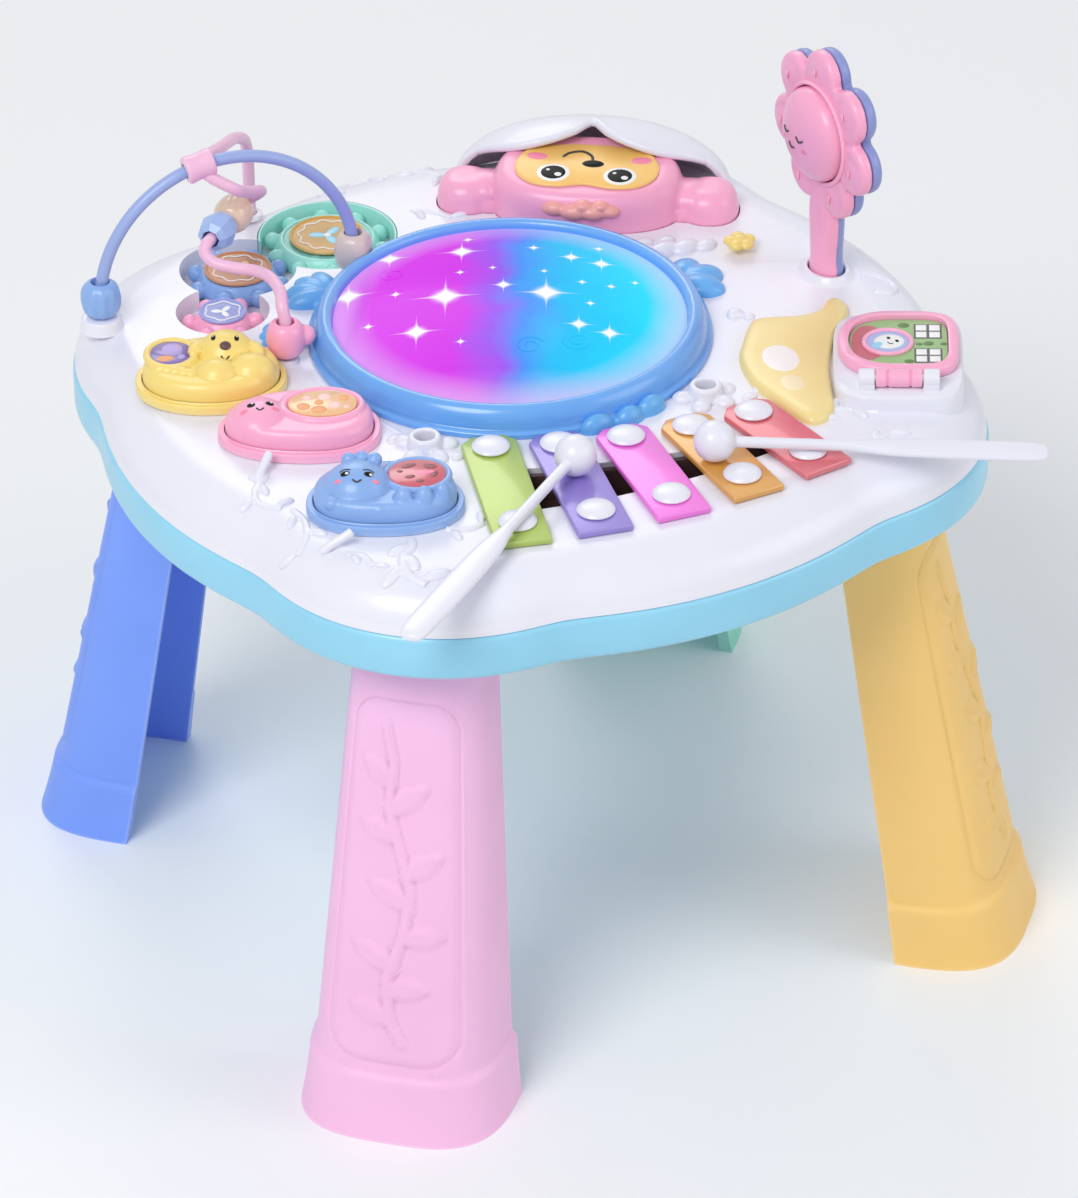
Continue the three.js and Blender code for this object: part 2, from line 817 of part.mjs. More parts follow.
// Five pegs on one rail below the shell: their heads hold the ends of the bars.
function pegRail(peg, share) {
  const railTop = plateauTop - shellWall - gap;
  const railLow = railTop - railHeight;
  const steps = 4;
  const inner = [];
  const outer = [];
  for (let i = 0; i <= steps; i += 1) {
    const place = (i * (barCount - 1)) / steps;
    const here = peg(place);
    const ahead = peg(place + share).sub(here).normalize();
    const side = new THREE.Vector2(ahead.y, -ahead.x).multiplyScalar(railWidth / 2);
    const overhang = i === 0 ? -railWidth / 2 : (i === steps ? railWidth / 2 : 0);
    here.addScaledVector(ahead, overhang);
    outer.push(here.clone().add(side));
    inner.push(here.clone().sub(side));
  }
  const rail = slab([...outer, ...inner.reverse()], railLow, railTop);
  const heads = barNumbers.map((i) => {
    const place = peg(i);
    const head = crowned(circle(pegHeadRadius, 10), [
      [1, barTop + gap], [1, barTop + gap + pegHeadHeight / 2], [0.7, pegTop],
    ]);
    return moved(rod(pegStemRadius, railLow, pegTop - gap, 8).add(head), place.x, place.y);
  });
  return joined([rail, ...heads]);
}

function mallet() {
  const ball = fromGeometry(new THREE.SphereGeometry(malletBallRadius, 12, 7));
  const shaft = fromGeometry(new THREE.CylinderGeometry(
    malletShaftRadius,
    malletShaftRadius,
    malletShaftLength + malletBallRadius,
    10,
  ).rotateZ(Math.PI / 2).translate((malletShaftLength + malletBallRadius) / 2, 0, 0));
  const gripLength = malletLength - malletShaftLength;
  const grip = rounded(gripLength / 2, malletGripHalfWidth, 3, 20, 0.2);
  const gripOutline = placed(grip, malletShaftLength + gripLength / 2, 0);
  const handle = slab(gripOutline, -malletGripHeight / 2, malletGripHeight / 2);
  return joined([ball, shaft, handle]);
}

function layMallet(name, ballX, ballY, endX, endY, endDrop, color) {
  const ballHeight = barTop + gap + malletBallRadius;
  const start = new THREE.Vector3(ballX, ballY, ballHeight);
  const along = new THREE.Vector3(endX, endY, ballHeight - endDrop).sub(start).normalize();
  const across = new THREE.Vector3(-along.y, along.x, 0).normalize();
  const upward = along.clone().cross(across);
  const group = new THREE.Group();
  group.applyMatrix4(new THREE.Matrix4().makeBasis(along, across, upward).setPosition(start));
  table.add(group);
  piece(name, mallet(), color, group);
}

function drumRing() {
  const inner = padRadius + slideGap;
  const collarOuter = inner + ringCollar;
  const flangeLow = plateauTop + gap;
  const outer = padRadius + ringWidth;
  const top = plateauTop + ringHeight;
  const rise = ringHeight - gap;
  const bottom = plateauTop - collarDepth;
  const profile = [
    [inner, bottom + ringCollar], [inner - ringLedge, bottom + ringCollar], [inner - ringLedge, bottom],
    [collarOuter, bottom], [collarOuter, flangeLow], [outer, flangeLow],
    [outer, flangeLow + rise * 0.25], [outer - ringWidth * 0.2, flangeLow + rise * 0.65],
    [outer - ringWidth * 0.55, flangeLow + rise * 0.92], [inner + ringCollar / 2, top],
    [inner, top - ringCollar / 2], [inner, bottom + ringCollar],
  ];
  const middle = padRadius + ringWidth * 0.6;
  // Each fin: its bearing, then reach and half width as shares of the ring's width, then its rise
  const finShares = [
    [127, 1.82, 1.82, 1], [149, 2.09, 0.64, 1], [0, 1.82, 2.18, 1], [-93, 0.82, 0.73, 1.5],
    [-80, 0.91, 0.91, 1.5],
  ];
  const fins = finShares.map(([bearing, reach, halfWidth, height]) => {
    const finTop = flangeLow + finHeight * height;
    const fin = mound(ringWidth * reach, ringWidth * halfWidth, flangeLow, finTop, 16, 3);
    return moved(fin, middle, 0).rotate([0, 0, bearing]);
  });
  const ring = turned(profile, 32);
  const bore = rod(inner, bottom + ringCollar, top + cutOverrun, 32);
  const notch = rod(beadRadius + slideGap, bottom, top + cutOverrun, 16);
  const whole = joined([ring, ...fins.map((fin) => fin.subtract(bore))]);
  return whole.subtract(moved(notch, archEndX, archEndY - drumOffset));
}

function drumPad() {
  const edge = plateauTop + ringHeight - padEdgeDrop;
  const low = edge - padSkirt;
  const steps = 4;
  const outside = [];
  const inside = [];
  for (let i = 0; i <= steps; i += 1) {
    const share = i / steps;
    const rise = padCrown * (1 - share * share);
    outside.push([padRadius * share, edge + rise]);
    inside.push([(padRadius - padWall) * share, edge + rise - padWall]);
  }
  return turned([...outside, [padRadius, low], [padRadius - padWall, low], ...inside.reverse()], 32);
}

const lightBoardTop = plateauTop - collarDepth - padTravel - gap;

function lightBoard() {
  const top = lightBoardTop;
  const board = rod(lightBoardRadius, top - lightBoardWall, top, 32);
  const lights = Array.from({ length: lightCount }, (_, i) => {
    const light = rod(lightRadius, top - lightBoardWall / 2, top + lightHeight, 6);
    return moved(light, lightCircle, 0).rotate([0, 0, (360 * i) / lightCount]);
  });
  return joined([board, ...lights]);
}

function gear(teeth, phase) {
  const outline = gearOutline(teeth, phase);
  const body = crowned(outline, [
    [1, gearLow], [1, gearLow + gearHeight * 0.75], [0.93, gearTop],
  ]);
  const boreTop = gearTop - gearBadgeHeight + gap;
  return body.subtract(rod(gearPostRadius + slideGap, gearLow - cutOverrun, boreTop, 12));
}

function gearBadge(radius) {
  return slab(circle(radius, 24), gearTop + gap, gearTop + gap + gearBadgeHeight);
}

function mintGearTray() {
  const reach = mintRadius + gearReach + gearPocketGap - gap;
  const floor = plateauTop - gearPocketDepth;
  const ring = rod(reach, floor + gap, plateauTop - gap, 20);
  const space = rod(reach - gearTrayWall, floor, plateauTop, 20);
  const apart = blueGearPlace.clone().sub(mintGearPlace);
  const mouth = rod(blueRadius + gearReach + gearPocketGap, floor, plateauTop, 20);
  return without(ring, [space, moved(mouth, apart.x, apart.y)]);
}

// The arch: a half circle on two short straight legs.
const archStart = new THREE.Vector3(archStartX, archStartY, 0);
const archEnd = new THREE.Vector3(archEndX, archEndY, 0);
const archHalf = archStart.distanceTo(archEnd) / 2;
const archAlong = archEnd.clone().sub(archStart).normalize();
const archMiddle = archStart.clone().add(archEnd).multiplyScalar(1 / 2);
const archSpring = plateauTop + archLegHeight;
const tubeFoot = plateauTop - archSocketDepth + gap;

// A place on the arch: 180 degrees is over its start and 0 over its end.
function archPoint(degreesUp) {
  const angle = THREE.MathUtils.degToRad(degreesUp);
  return archMiddle.clone().addScaledVector(archAlong, archHalf * Math.cos(angle))
    .setZ(archSpring + archHalf * Math.sin(angle));
}

function archTangent(degreesUp) {
  const angle = THREE.MathUtils.degToRad(degreesUp);
  return archAlong.clone().multiplyScalar(-Math.sin(angle)).setZ(Math.cos(angle));
}

function beadArch(growth = 0) {
  const steps = 18;
  const points = Array.from({ length: steps + 1 }, (_, i) => archPoint(180 - (180 * i) / steps));
  const path = [archStart.clone().setZ(tubeFoot), ...points, archEnd.clone().setZ(tubeFoot)];
  return sweep(path, archTube + growth, 8);
}

// A tube swept through the given points with one section at each point, square to the path.
function sweep(points, radius, sides) {
  const count = points.length;
  const tangents = points.map((_, i) => {
    const before = points[Math.max(0, i - 1)];
    const after = points[Math.min(count - 1, i + 1)];
    return after.clone().sub(before).normalize();
  });
  let normal = new THREE.Vector3(0, 1, 0);
  if (Math.abs(tangents[0].y) > 0.9) {
    normal = new THREE.Vector3(1, 0, 0);
  }
  const positions = [];
  const triangles = [];
  tangents.forEach((tangent, i) => {
    normal = normal.clone().addScaledVector(tangent, -normal.dot(tangent)).normalize();
    const side = tangent.clone().cross(normal);
    for (const { x, y } of circle(radius, sides)) {
      positions.push(points[i].clone().addScaledVector(normal, x).addScaledVector(side, y));
    }
  });
  for (let i = 0; i + 1 < count; i += 1) {
    for (let k = 0; k < sides; k += 1) {
      const a = i * sides + k;
      const b = i * sides + ((k + 1) % sides);
      triangles.push([a, b, b + sides], [a, b + sides, a + sides]);
    }
  }
  const last = (count - 1) * sides;
  for (let k = 1; k + 1 < sides; k += 1) {
    triangles.push([0, k + 1, k], [last, last + k, last + k + 1]);
  }
  return closedSolid(positions, triangles);
}

// Places of the two beads threaded on the low stretch of the wire
const beadHalf = smallBeadRadius * 0.95;
const threaded = new THREE.Vector3(threadedX, threadedY, plateauTop + threadedHeight);
const threadedAxis = new THREE.Vector3(1, 0, 0)
  .applyAxisAngle(new THREE.Vector3(0, 0, 1), THREE.MathUtils.degToRad(threadedBearing));
const creamBeadPlace = threaded.clone().addScaledVector(threadedAxis, -beadHalf - slideGap);
const facetBeadPlace = threaded.clone().addScaledVector(threadedAxis, beadHalf + slideGap);

// The wire's path: X and Y from a socket as shares of its reach, height as a share of its rise
const rearShares = [
  [0, 0, 0.41], [-0.02, -0.02, 0.54], [-0.1, -0.13, 0.66], [-0.27, -0.32, 0.78], [-0.48, -0.57, 0.88],
  [-0.7, -0.8, 0.97],
];
const entryShares = [
  [-0.08, 0.97, 0.94], [0.08, 0.9, 0.84], [0.23, 1, 0.74], [0.38, 1.12, 0.66], [0.44, 1.25, 0.58],
];
const frontShares = [
  [-0.2, 0.87, 0.46], [-0.17, 0.77, 0.42], [-0.07, 0.65, 0.41], [0.03, 0.52, 0.42], [0.06, 0.34, 0.44],
  [0.04, 0.15, 0.43], [0, 0.04, 0.38], [0, 0, 0.305],
];

function wirePath(shares, x, y) {
  return shares.map(([across, along, up]) => new THREE.Vector3(
    x + across * wireReach,
    y + along * wireReach,
    plateauTop + up * wireRise,
  ));
}

function smooth(points, steps) {
  return new THREE.CatmullRomCurve3(points, false, 'centripetal').getPoints(steps);
}

// The wire rises from its rear socket to a clip round the top of the arch, then comes down
// through two beads and a low curl to its front socket.
function beadWire() {
  const clip = archPoint(clipAngle);
  const rear = smooth([...wirePath(rearShares, wireRearX, wireRearY), clip], 12);
  const reach = beadHalf + slideGap + beadBore;
  const threadStart = threaded.clone().addScaledVector(threadedAxis, -reach - beadHalf);
  const threadEnd = threaded.clone().addScaledVector(threadedAxis, reach + beadHalf);
  const entry = smooth([clip, ...wirePath(entryShares, wireFrontX, wireFrontY), threadStart], 12);
  const exit = smooth([threadEnd, ...wirePath(frontShares, wireFrontX, wireFrontY)], 16);
  const rearLeg = new THREE.Vector3(wireRearX, wireRearY, tubeFoot);
  const frontLeg = new THREE.Vector3(wireFrontX, wireFrontY, tubeFoot);
  const upright = new THREE.Vector3(0, 0, 1);
  const turn = new THREE.Quaternion().setFromUnitVectors(upright, archTangent(clipAngle));
  const pose = new THREE.Matrix4().compose(clip, turn, new THREE.Vector3(1, 1, 1));
  const clipSleeve = rod(clipRadius, -clipLength / 2, clipLength / 2, 14).transform(pose.elements);
  return joined([
    sweep([rearLeg, ...rear], wireTube, 7),
    sweep([...entry, ...exit, frontLeg], wireTube, 7),
    clipSleeve,
  ]).subtract(beadArch(2 * gap));
}

// A bead with a straight bore along its own Z axis.
function bead(radius, halfHeight, segments) {
  return turned([
    [beadBore, -halfHeight], [radius * 0.72, -halfHeight * 0.92], [radius, -halfHeight * 0.42],
    [radius, halfHeight * 0.42], [radius * 0.72, halfHeight * 0.92], [beadBore, halfHeight],
    [beadBore, -halfHeight],
  ], segments);
}

function threadBead(name, solid, place, axis, material) {
  const upright = new THREE.Vector3(0, 0, 1);
  const mesh = piece(name, solid, material, table);
  mesh.position.copy(place);
  mesh.quaternion.setFromUnitVectors(upright, axis.clone().normalize());
}

function lobedBead() {
  const body = bead(beadRadius, beadRadius, 12);
  const bore = rod(beadBore, -2 * beadRadius, 2 * beadRadius, 12);
  const lobes = [lobeTurn, -lobeTurn].map((turn) => {
    const lobe = fromGeometry(new THREE.SphereGeometry(beadLobeRadius, 8, 5));
    return moved(lobe, beadRadius, 0).rotate([0, 0, turn]);
  });
  return joined([body, ...lobes]).subtract(bore).rotate([0, 0, lobedBeadTurn]);
}

function keyBase(key) {
  const rim = crowned(grown(key.outline, keyRimWidth), [
    [1, plateauTop + gap], [1, plateauTop + keyRimHeight * 0.8], [0.985, plateauTop + keyRimHeight],
  ]);
  const above = plateauTop + keyRimHeight + cutOverrun;
  return rim.subtract(slab(grown(key.outline, slideGap), plateauTop, above));
}

function keyBody(key) {
  const rise = keyTop - keyLow;
  const body = crowned(key.outline, [
    [1, keyLow], [1, keyLow + rise * 0.55], [0.95, keyLow + rise * 0.85], [0.86, keyTop],
  ]);
  const stem = rod(keyStemRadius, keyLow - keyStemLength, keyLow + rise / 2, 12);
  const lobes = key.lobeShares.map(([x, y, length, width, height]) => {
    const lobeTop = keyTop + keyHeight * height;
    const reach = key.halfLength * length;
    const lobe = mound(reach, key.halfWidth * width, keyTop - rise * 0.4, lobeTop, 12, 3);
    return moved(lobe, key.halfLength * x, key.halfWidth * y);
  });
  return joined([body, stem, ...lobes]);
}

function keyWindow(key) {
  const [x, y, length, width] = key.windowShares;
  const pane = rounded(key.halfLength * length, key.halfWidth * width, 2.2, 16);
  const low = keyTop + gap;
  return moved(slab(pane, low, low + windowHeight), key.halfLength * x, key.halfWidth * y);
}

const headTop = plateauTop + headHeight;
const headTilt = 0.12;

function monkeyHead() {
  const rise = headTop - headLow;
  const head = crowned(headOutline, [
    [1, headLow], [1, headLow + rise * 0.5], [0.97, headLow + rise * 0.76],
    [0.91, headLow + rise * 0.93], [0.83, headTop],
  ], headTilt);
  const earTop = plateauTop + earHeight;
  const earRise = earTop - headLow;
  const ear = crowned(earOutline, [
    [1, headLow], [1, headLow + earRise * 0.55], [0.9, headLow + earRise * 0.85], [0.62, earTop],
  ]);
  return joined([head, moved(ear, -earReach, 0), moved(ear, earReach, 0)]);
}

function monkeyFace() {
  const plate = rounded(headHalfWidth * 0.76, headHalfDepth * 0.64, 2.6, 24);
  const outline = placed(plate, 0, headHalfDepth * -0.06);
  const low = headTop + gap;
  return loft([low, low + facePlateHeight].map((z) => ({
    outline,
    z: (point) => z + headTilt * point.y,
  })));
}

function hood() {
  const skirt = shoulderRise / 2;
  const shape = rounded(hoodHalfWidth, hoodHalfDepth, 2.2, 28);
  const domeSteps = 5;
  const dome = (outline, height) => {
    const profile = [[1, plateauTop - skirt], [1, plateauTop + gap]];
    for (let i = 1; i < domeSteps; i += 1) {
      const angle = (Math.PI / 2) * (i / domeSteps);
      profile.push([Math.cos(angle), plateauTop + height * Math.sin(angle)]);
    }
    profile.push([0.08, plateauTop + height]);
    return crowned(outline, profile);
  };
  const shell = dome(shape, hoodHeight).subtract(dome(grown(shape, -hoodWall), hoodHeight - hoodWall));
  const edgeShares = [
    [-1.3, -2], [1.3, -2], [1.3, -0.06], [0.8, -0.12], [0.48, -0.34], [0.14, -0.18], [0, 0.22],
    [-0.14, -0.18], [-0.48, -0.34], [-0.8, -0.12], [-1.3, -0.06],
  ];
  const front = edgeShares.map(([across, along]) => new THREE.Vector2(
    hoodHalfWidth * across,
    hoodHalfDepth * along,
  ));
  const opened = shell.subtract(slab(front, plateauTop - 2 * skirt, plateauTop + 2 * hoodHeight));
  const stood = moved(moved(opened, 0, hoodSetBack), monkeyX, monkeyY, 0, monkeyBearing);
  const ground = shellForm(rimStep - gap, 0).map(({ outline, z }) => ({ outline, z: z + gap }));
  const below = { outline: ground[0].outline, z: bandTop - shoulderRise };
  return stood.subtract(loft([below, ...ground]));
}

function flowerButton() {
  const low = plateauTop + buttonTravel + gap;
  const petals = crowned(scalloped(buttonRadius, buttonRadius * 0.14, 5, 20), [
    [1, low], [1, low + buttonHeight * 0.5], [0.8, low + buttonHeight * 0.8],
  ]);
  const middle = rod(buttonRadius * 0.36, low + buttonHeight / 2, low + buttonHeight, 12);
  const stem = rod(buttonStemRadius, low - shellWall - buttonHeight, low + buttonHeight / 2, 10);
  return joined([petals, middle, stem]);
}

function bananaPanel() {
  const low = plateauTop - bananaPocketDepth + gap;
  return crowned(bananaOutline, [
    [1, low], [1, low + bananaHeight * 0.45], [0.95, low + bananaHeight * 0.75],
    [0.84, low + bananaHeight * 0.93], [0.6, low + bananaHeight],
  ]);
}

// Hinge parts lie along X in the door's own frame.
function barrelX(radius, low, high, height, segments = 14) {
  return rod(radius, low, high, segments).rotate([0, 90, 0]).translate([0, 0, height]);
}

const doorLow = doorBlockTop + gap;
const pinHole = doorPinRadius + doorPinGap;
const knuckleInner = doorBarrelLength / 2 + gap;
const knuckleOuter = knuckleInner + doorKnuckleLength;

function doorKnuckles() {
  const low = plateauTop + doorBlockHeight / 2;
  return [-1, 1].map((side) => {
    const from = Math.min(side * knuckleInner, side * knuckleOuter);
    const to = from + doorKnuckleLength;
    const barrel = barrelX(doorBarrelRadius, from, to, doorPinHeight);
    const foot = slab(rectangle(from, -doorBarrelRadius, to, doorBarrelRadius), low, doorPinHeight);
    const hole = barrelX(pinHole, from - cutOverrun, to + cutOverrun, doorPinHeight, 10);
    return barrel.add(foot).subtract(hole);
  });
}

function flipDoor() {
  const plate = moved(slab(doorPlate, doorLow, doorLow + doorWall), 0, doorMiddle);
  const reach = doorBarrelLength / 2;
  const barrel = barrelX(doorBarrelRadius, -reach, reach, doorPinHeight);
  const armOutline = rectangle(-reach, 0, reach, doorFrontGap + doorFrameWidth);
  const arm = slab(armOutline, doorLow, doorLow + doorWall * 0.8);
  const hole = barrelX(pinHole, -doorBarrelLength, doorBarrelLength, doorPinHeight, 10);
  const opening = slab(doorPicture(0), doorLow - cutOverrun, doorLow + doorWall + cutOverrun);
  return without(joined([plate, barrel, arm]), [hole, moved(opening, 0, doorMiddle)]);
}

function doorPicture(inset) {
  const reach = doorFrameWidth + inset;
  return rounded(doorHalfWidth - reach, doorDepth / 2 - reach, 5, 24);
}

function doorPictureCard() {
  const low = doorLow + doorWall / 3;
  return moved(slab(doorPicture(gap), low, low + doorPictureWall), 0, doorMiddle);
}

function rectangle(lowX, lowY, highX, highY) {
  const corners = [[lowX, lowY], [highX, lowY], [highX, highY], [lowX, highY]];
  return corners.map(([x, y]) => new THREE.Vector2(x, y));
}

// The rattle stands with its face towards -Y in its own frame; the two halves meet at Y 0.
const rattleFoot = plateauTop - rattleHandleDepth;
const rattleMiddle = plateauTop + rattleStemHeight + rattlePetalCircle + rattlePetalRadius * 0.5;

function rattleWhole() {
  const petals = Array.from({ length: rattlePetals }, (_, i) => {
    const petal = rod(rattlePetalRadius, -rattleHalfThickness, rattleHalfThickness, 12);
    return moved(petal, rattlePetalCircle, 0).rotate([0, 0, 90 + (360 * i) / rattlePetals]);
  });
  const discRadius = rattlePetalCircle + rattlePetalRadius * 0.3;
  const disc = rod(discRadius, -rattleHalfThickness, rattleHalfThickness, 28);
  const head = joined([disc, ...petals]).rotate([90, 0, 0]).translate([0, 0, rattleMiddle]);
  return head.add(slab(handleOutline, rattleFoot, rattleMiddle - rattlePetalCircle));
}

function rattleHalf(front) {
  const reach = 2 * (rattlePetalCircle + rattlePetalRadius);
  const half = front
    ? rectangle(-reach, -reach, reach, -gap / 2)
    : rectangle(-reach, gap / 2, reach, reach);
  const kept = rattleWhole().intersect(slab(half, rattleFoot - cutOverrun, rattleMiddle + reach));
  if (!front) {
    return kept;
  }
  const seatLow = rattleHalfThickness * 0.3;
  const seat = rod(rattleFaceRadius + gap, seatLow, rattleHalfThickness + cutOverrun, 28);
  return kept.subtract(seat.rotate([90, 0, 0]).translate([0, 0, rattleMiddle]));
}

function rattleFace() {
  const low = rattleHalfThickness * 0.3 + gap;
  const steps = 4;
  const dome = Array.from({ length: steps }, (_, i) => {
    const angle = (Math.PI / 2) * (i / steps);
    const height = rattleHalfThickness + rattleFaceBulge * Math.sin(angle);
    return [rattleFaceRadius * Math.cos(angle), height];
  });
  const crown = [0, rattleHalfThickness + rattleFaceBulge];
  const face = turned([[0, low], [rattleFaceRadius, low], ...dome, crown], 20);
  return face.rotate([90, 0, 0]).translate([0, 0, rattleMiddle]);
}

// A leg in its own frame: X across it, Y outward from the table's middle.
function legOutline(halfWidth, depth, spread, inset) {
  const half = 10;
  const points = [];
  for (let i = 0; i <= half; i += 1) {
    const angle = (Math.PI * i) / half;
    const power = 2 / legFullness;
    const across = Math.sign(Math.cos(angle)) * Math.abs(Math.cos(angle)) ** power;
    const out = Math.abs(Math.sin(angle)) ** power;
    points.push(new THREE.Vector2((halfWidth - inset) * across, spread + (depth - inset) * out));
  }
  if (inset > 0) {
    points[0].y -= inset;
    points[half].y -= inset;
  }
  return points;
}

function legSection(height, step, inset) {
  const share = height / undersideHeight;
  const lerp = THREE.MathUtils.lerp;
  return {
    outline: legOutline(
      lerp(footHalfWidth, topHalfWidth, share) + step,
      lerp(footDepth, topDepth, share) + step,
      lerp(footSpread, topSpread, share) - (inset > 0 ? cutOverrun : 0),
      inset,
    ),
    z: height,
  };
}

function leg() {
  const top = undersideHeight - gap;
  const outer = loft([
    legSection(0, footRingStep, 0), legSection(footRingHeight - footRingStep, footRingStep, 0),
    legSection(footRingHeight, 0, 0), legSection((footRingHeight + top) / 2, 0, 0), legSection(top, 0, 0),
  ]);
  const innerTop = top - legTopPlate;
  const inner = loft([
    legSection(-cutOverrun, footRingStep, legWall),
    legSection(footRingHeight - footRingStep, footRingStep, legWall),
    legSection(footRingHeight, 0, legWall), legSection(innerTop, 0, legWall),
  ]);
  const plug = slab(placed(legPlug(0), 0, plugSpread), top - legTopPlate / 2, top + legPlugHeight);
  return outer.subtract(inner).add(plug);
}

const plugSpread = topSpread + topDepth / 2;

function legPlug(growth) {
  return rounded(legPlugLength / 2 + growth, legPlugWidth / 2 + growth, 6, 16);
}

// Battery bay, open below, and its door
const bayLength = batteryLength + 2 * batteryBayGap;
const bayWidth = (batteryCount - 1) * batteryPitch + 2 * (batteryRadius + batteryBayGap);
const bayHeight = 2 * batteryRadius + batteryDoorWall + 3 * gap;

function bayOutline(growth, tab) {
  const reachX = bayLength / 2 + growth;
  const reachY = bayWidth / 2 + growth;
  return rectangle(-reachX, -reachY, reachX + tab, reachY);
}

function switchOutline(growth, travel) {
  const reachX = switchLength / 2 + growth;
  const reachY = switchWidth / 2 + growth;
  return rectangle(-reachX, -reachY, reachX + travel, reachY);
}

const legCount = 4;

function legBearing(i) {
  return (360 / legCount) * (i - 1 / 2);
}

function bottomTray() {
  const low = undersideHeight;
  const below = low - cutOverrun;
  const above = trayFloorTop + cutOverrun;
  const outer = slab(rimOutline(0), low, bandTop);
  const inner = slab(rimOutline(trayWall), low + trayWall, bandTop + cutOverrun);
  const bay = slab(bayOutline(socketWall + gap, latchTab), low, low + bayHeight + socketWall);
  const boardPosts = [-1, 1].flatMap((x) => [-1, 1].map((y) => moved(
    rod(standoffRadius, low + trayWall / 2, trayFloorTop + standoffHeight, 8),
    boardX + x * (boardLength / 2 - standoffRadius),
    boardY + y * (boardWidth / 2 - standoffRadius),
  )));
  const lightPosts = [0, 1, 2].map((i) => moved(
    rod(standoffRadius, low + trayWall / 2, lightBoardTop - lightBoardWall - gap, 10),
    lightBoardRadius - standoffRadius,
    0,
  ).rotate([0, 0, 120 * i + 30]).translate([0, drumOffset, 0]));
  const spaces = [
    slab(bayOutline(0, 0), below, low + bayHeight),
    slab(bayOutline(gap, latchTab), below, low + batteryDoorWall + gap),
    moved(slab(switchOutline(gap, switchTravel), below, above), switchX, 0),
  ];
  const plugHole = slab(placed(legPlug(gap), 0, plugSpread), below, above);
  for (let i = 0; i < legCount; i += 1) {
    spaces.push(plugHole.rotate([0, 0, legBearing(i)]));
  }
  const grille = moved(rod(grilleHole, below, above, 8), speakerRadius / 2, 0);
  for (let i = 0; i < grilleHoles; i += 1) {
    spaces.push(moved(grille.rotate([0, 0, (360 * i) / grilleHoles]), speakerX, speakerY));
  }
  return without(joined([outer.subtract(inner), bay, ...boardPosts, ...lightPosts]), spaces);
}

function batteryDoor() {
  return slab(bayOutline(0, latchTab), undersideHeight, undersideHeight + batteryDoorWall);
}

function battery() {
  const nub = batteryRadius * 0.4;
  const end = batteryLength / 2;
  const shoulder = end - gap * 4;
  return turned([
    [0, -end], [batteryRadius, -end], [batteryRadius, shoulder], [nub, shoulder], [nub, end], [0, end],
  ], 16).rotate([0, 90, 0]);
}

function powerSwitch() {
  const plateLow = trayFloorTop + gap;
  const knob = slab(switchOutline(0, 0), undersideHeight - switchWidth / 3, plateLow);
  const plate = slab(switchOutline(switchPlateReach, 0), plateLow, plateLow + switchPlateWall);
  return knob.add(plate);
}

function mainBoard() {
  const low = trayFloorTop + standoffHeight + gap;
  const reachX = boardLength / 2;
  const reachY = boardWidth / 2;
  const chipReach = boardWidth / 5;
  const board = slab(rectangle(-reachX, -reachY, reachX, reachY), low, low + boardWall);
  const chipOutline = rectangle(-chipReach, -chipReach, chipReach, chipReach);
  return board.add(slab(chipOutline, low + boardWall / 2, low + 2 * boardWall));
}

function speaker() {
  const low = trayFloorTop + gap;
  return turned([
    [0, low + speakerHeight / 3], [speakerRadius * 0.5, low + speakerHeight / 6],
    [speakerRadius * 0.9, low], [speakerRadius, low], [speakerRadius, low + speakerHeight / 3],
    [speakerRadius * 0.6, low + speakerHeight * 0.6], [speakerRadius * 0.6, low + speakerHeight],
    [0, low + speakerHeight],
  ], 20);
}

// Assembly: housing and legs
piece('top_shell', topShell(), white, table);
piece('bottom_tray', bottomTray(), skyBlue, table);
const legNames = ['leg_yellow', 'leg_mint', 'leg_blue', 'leg_pink'];
const legColours = [sand, mint, plastic(0x86a6fa, 0.45), palePink];
legNames.forEach((name, i) => {
  piece(name, leg(), legColours[i], station(0, 0, 0, legBearing(i) - 90));
});

// Assembly: drum
const drum = station(0, drumOffset);
piece('drum_ring', drumRing(), drumBlue, drum);
piece('drum_pad', drumPad(), plastic(0xb05ae6, 0.2), drum);
piece('light_board', lightBoard(), plastic(0x2f7d4f, 0.5), drum);

// Assembly: chime bars and mallets
piece('resonator_tray', resonatorTray(), darkPlastic, table);
piece('near_peg_rail', pegRail(nearPeg, 0.1), white, table);
piece('far_peg_rail', pegRail(farPeg, 0.1), white, table);
const barColours = [0xa9c23f, 0x8a70cc, 0xee58dc, 0xdb9c1c, 0xd85a6c];
barNumbers.forEach((i) => {
  const { solid, x, y, turn } = bar(i);
  piece(`chime_bar_${i + 1}`, solid, new THREE.MeshStandardMaterial({
    color: barColours[i], roughness: 0.38, metalness: 0.3,
  }), station(x, y, 0, turn));
});
layMallet('mallet_left', leftBallX, leftBallY, leftEndX, leftEndY, leftEndDrop, white);
layMallet('mallet_right', rightBallX, rightBallY, rightEndX, rightEndY, rightEndDrop, white);

// Assembly: gears
const gearNames = ['mint_gear', 'blue_gear', 'pink_gear'];
const gearColours = [mint, gearBlue, pink];
const badgeRadii = [mintBadgeRadius, blueBadgeRadius, pinkBadgeRadius];
const badgeColours = [plastic(0xe0a850), plastic(0xdc8c5a), plastic(0x8c7cc8)];
gearPlaces.forEach((place, i) => {
  const post = station(place.x, place.y);
  piece(gearNames[i], gear(gearTeeth[i], gearPhases[i]), gearColours[i], post);
  piece(`${gearNames[i]}_badge`, gearBadge(badgeRadii[i]), badgeColours[i], post);
});
piece('mint_gear_tray', mintGearTray(), mint, station(mintGearPlace.x, mintGearPlace.y));

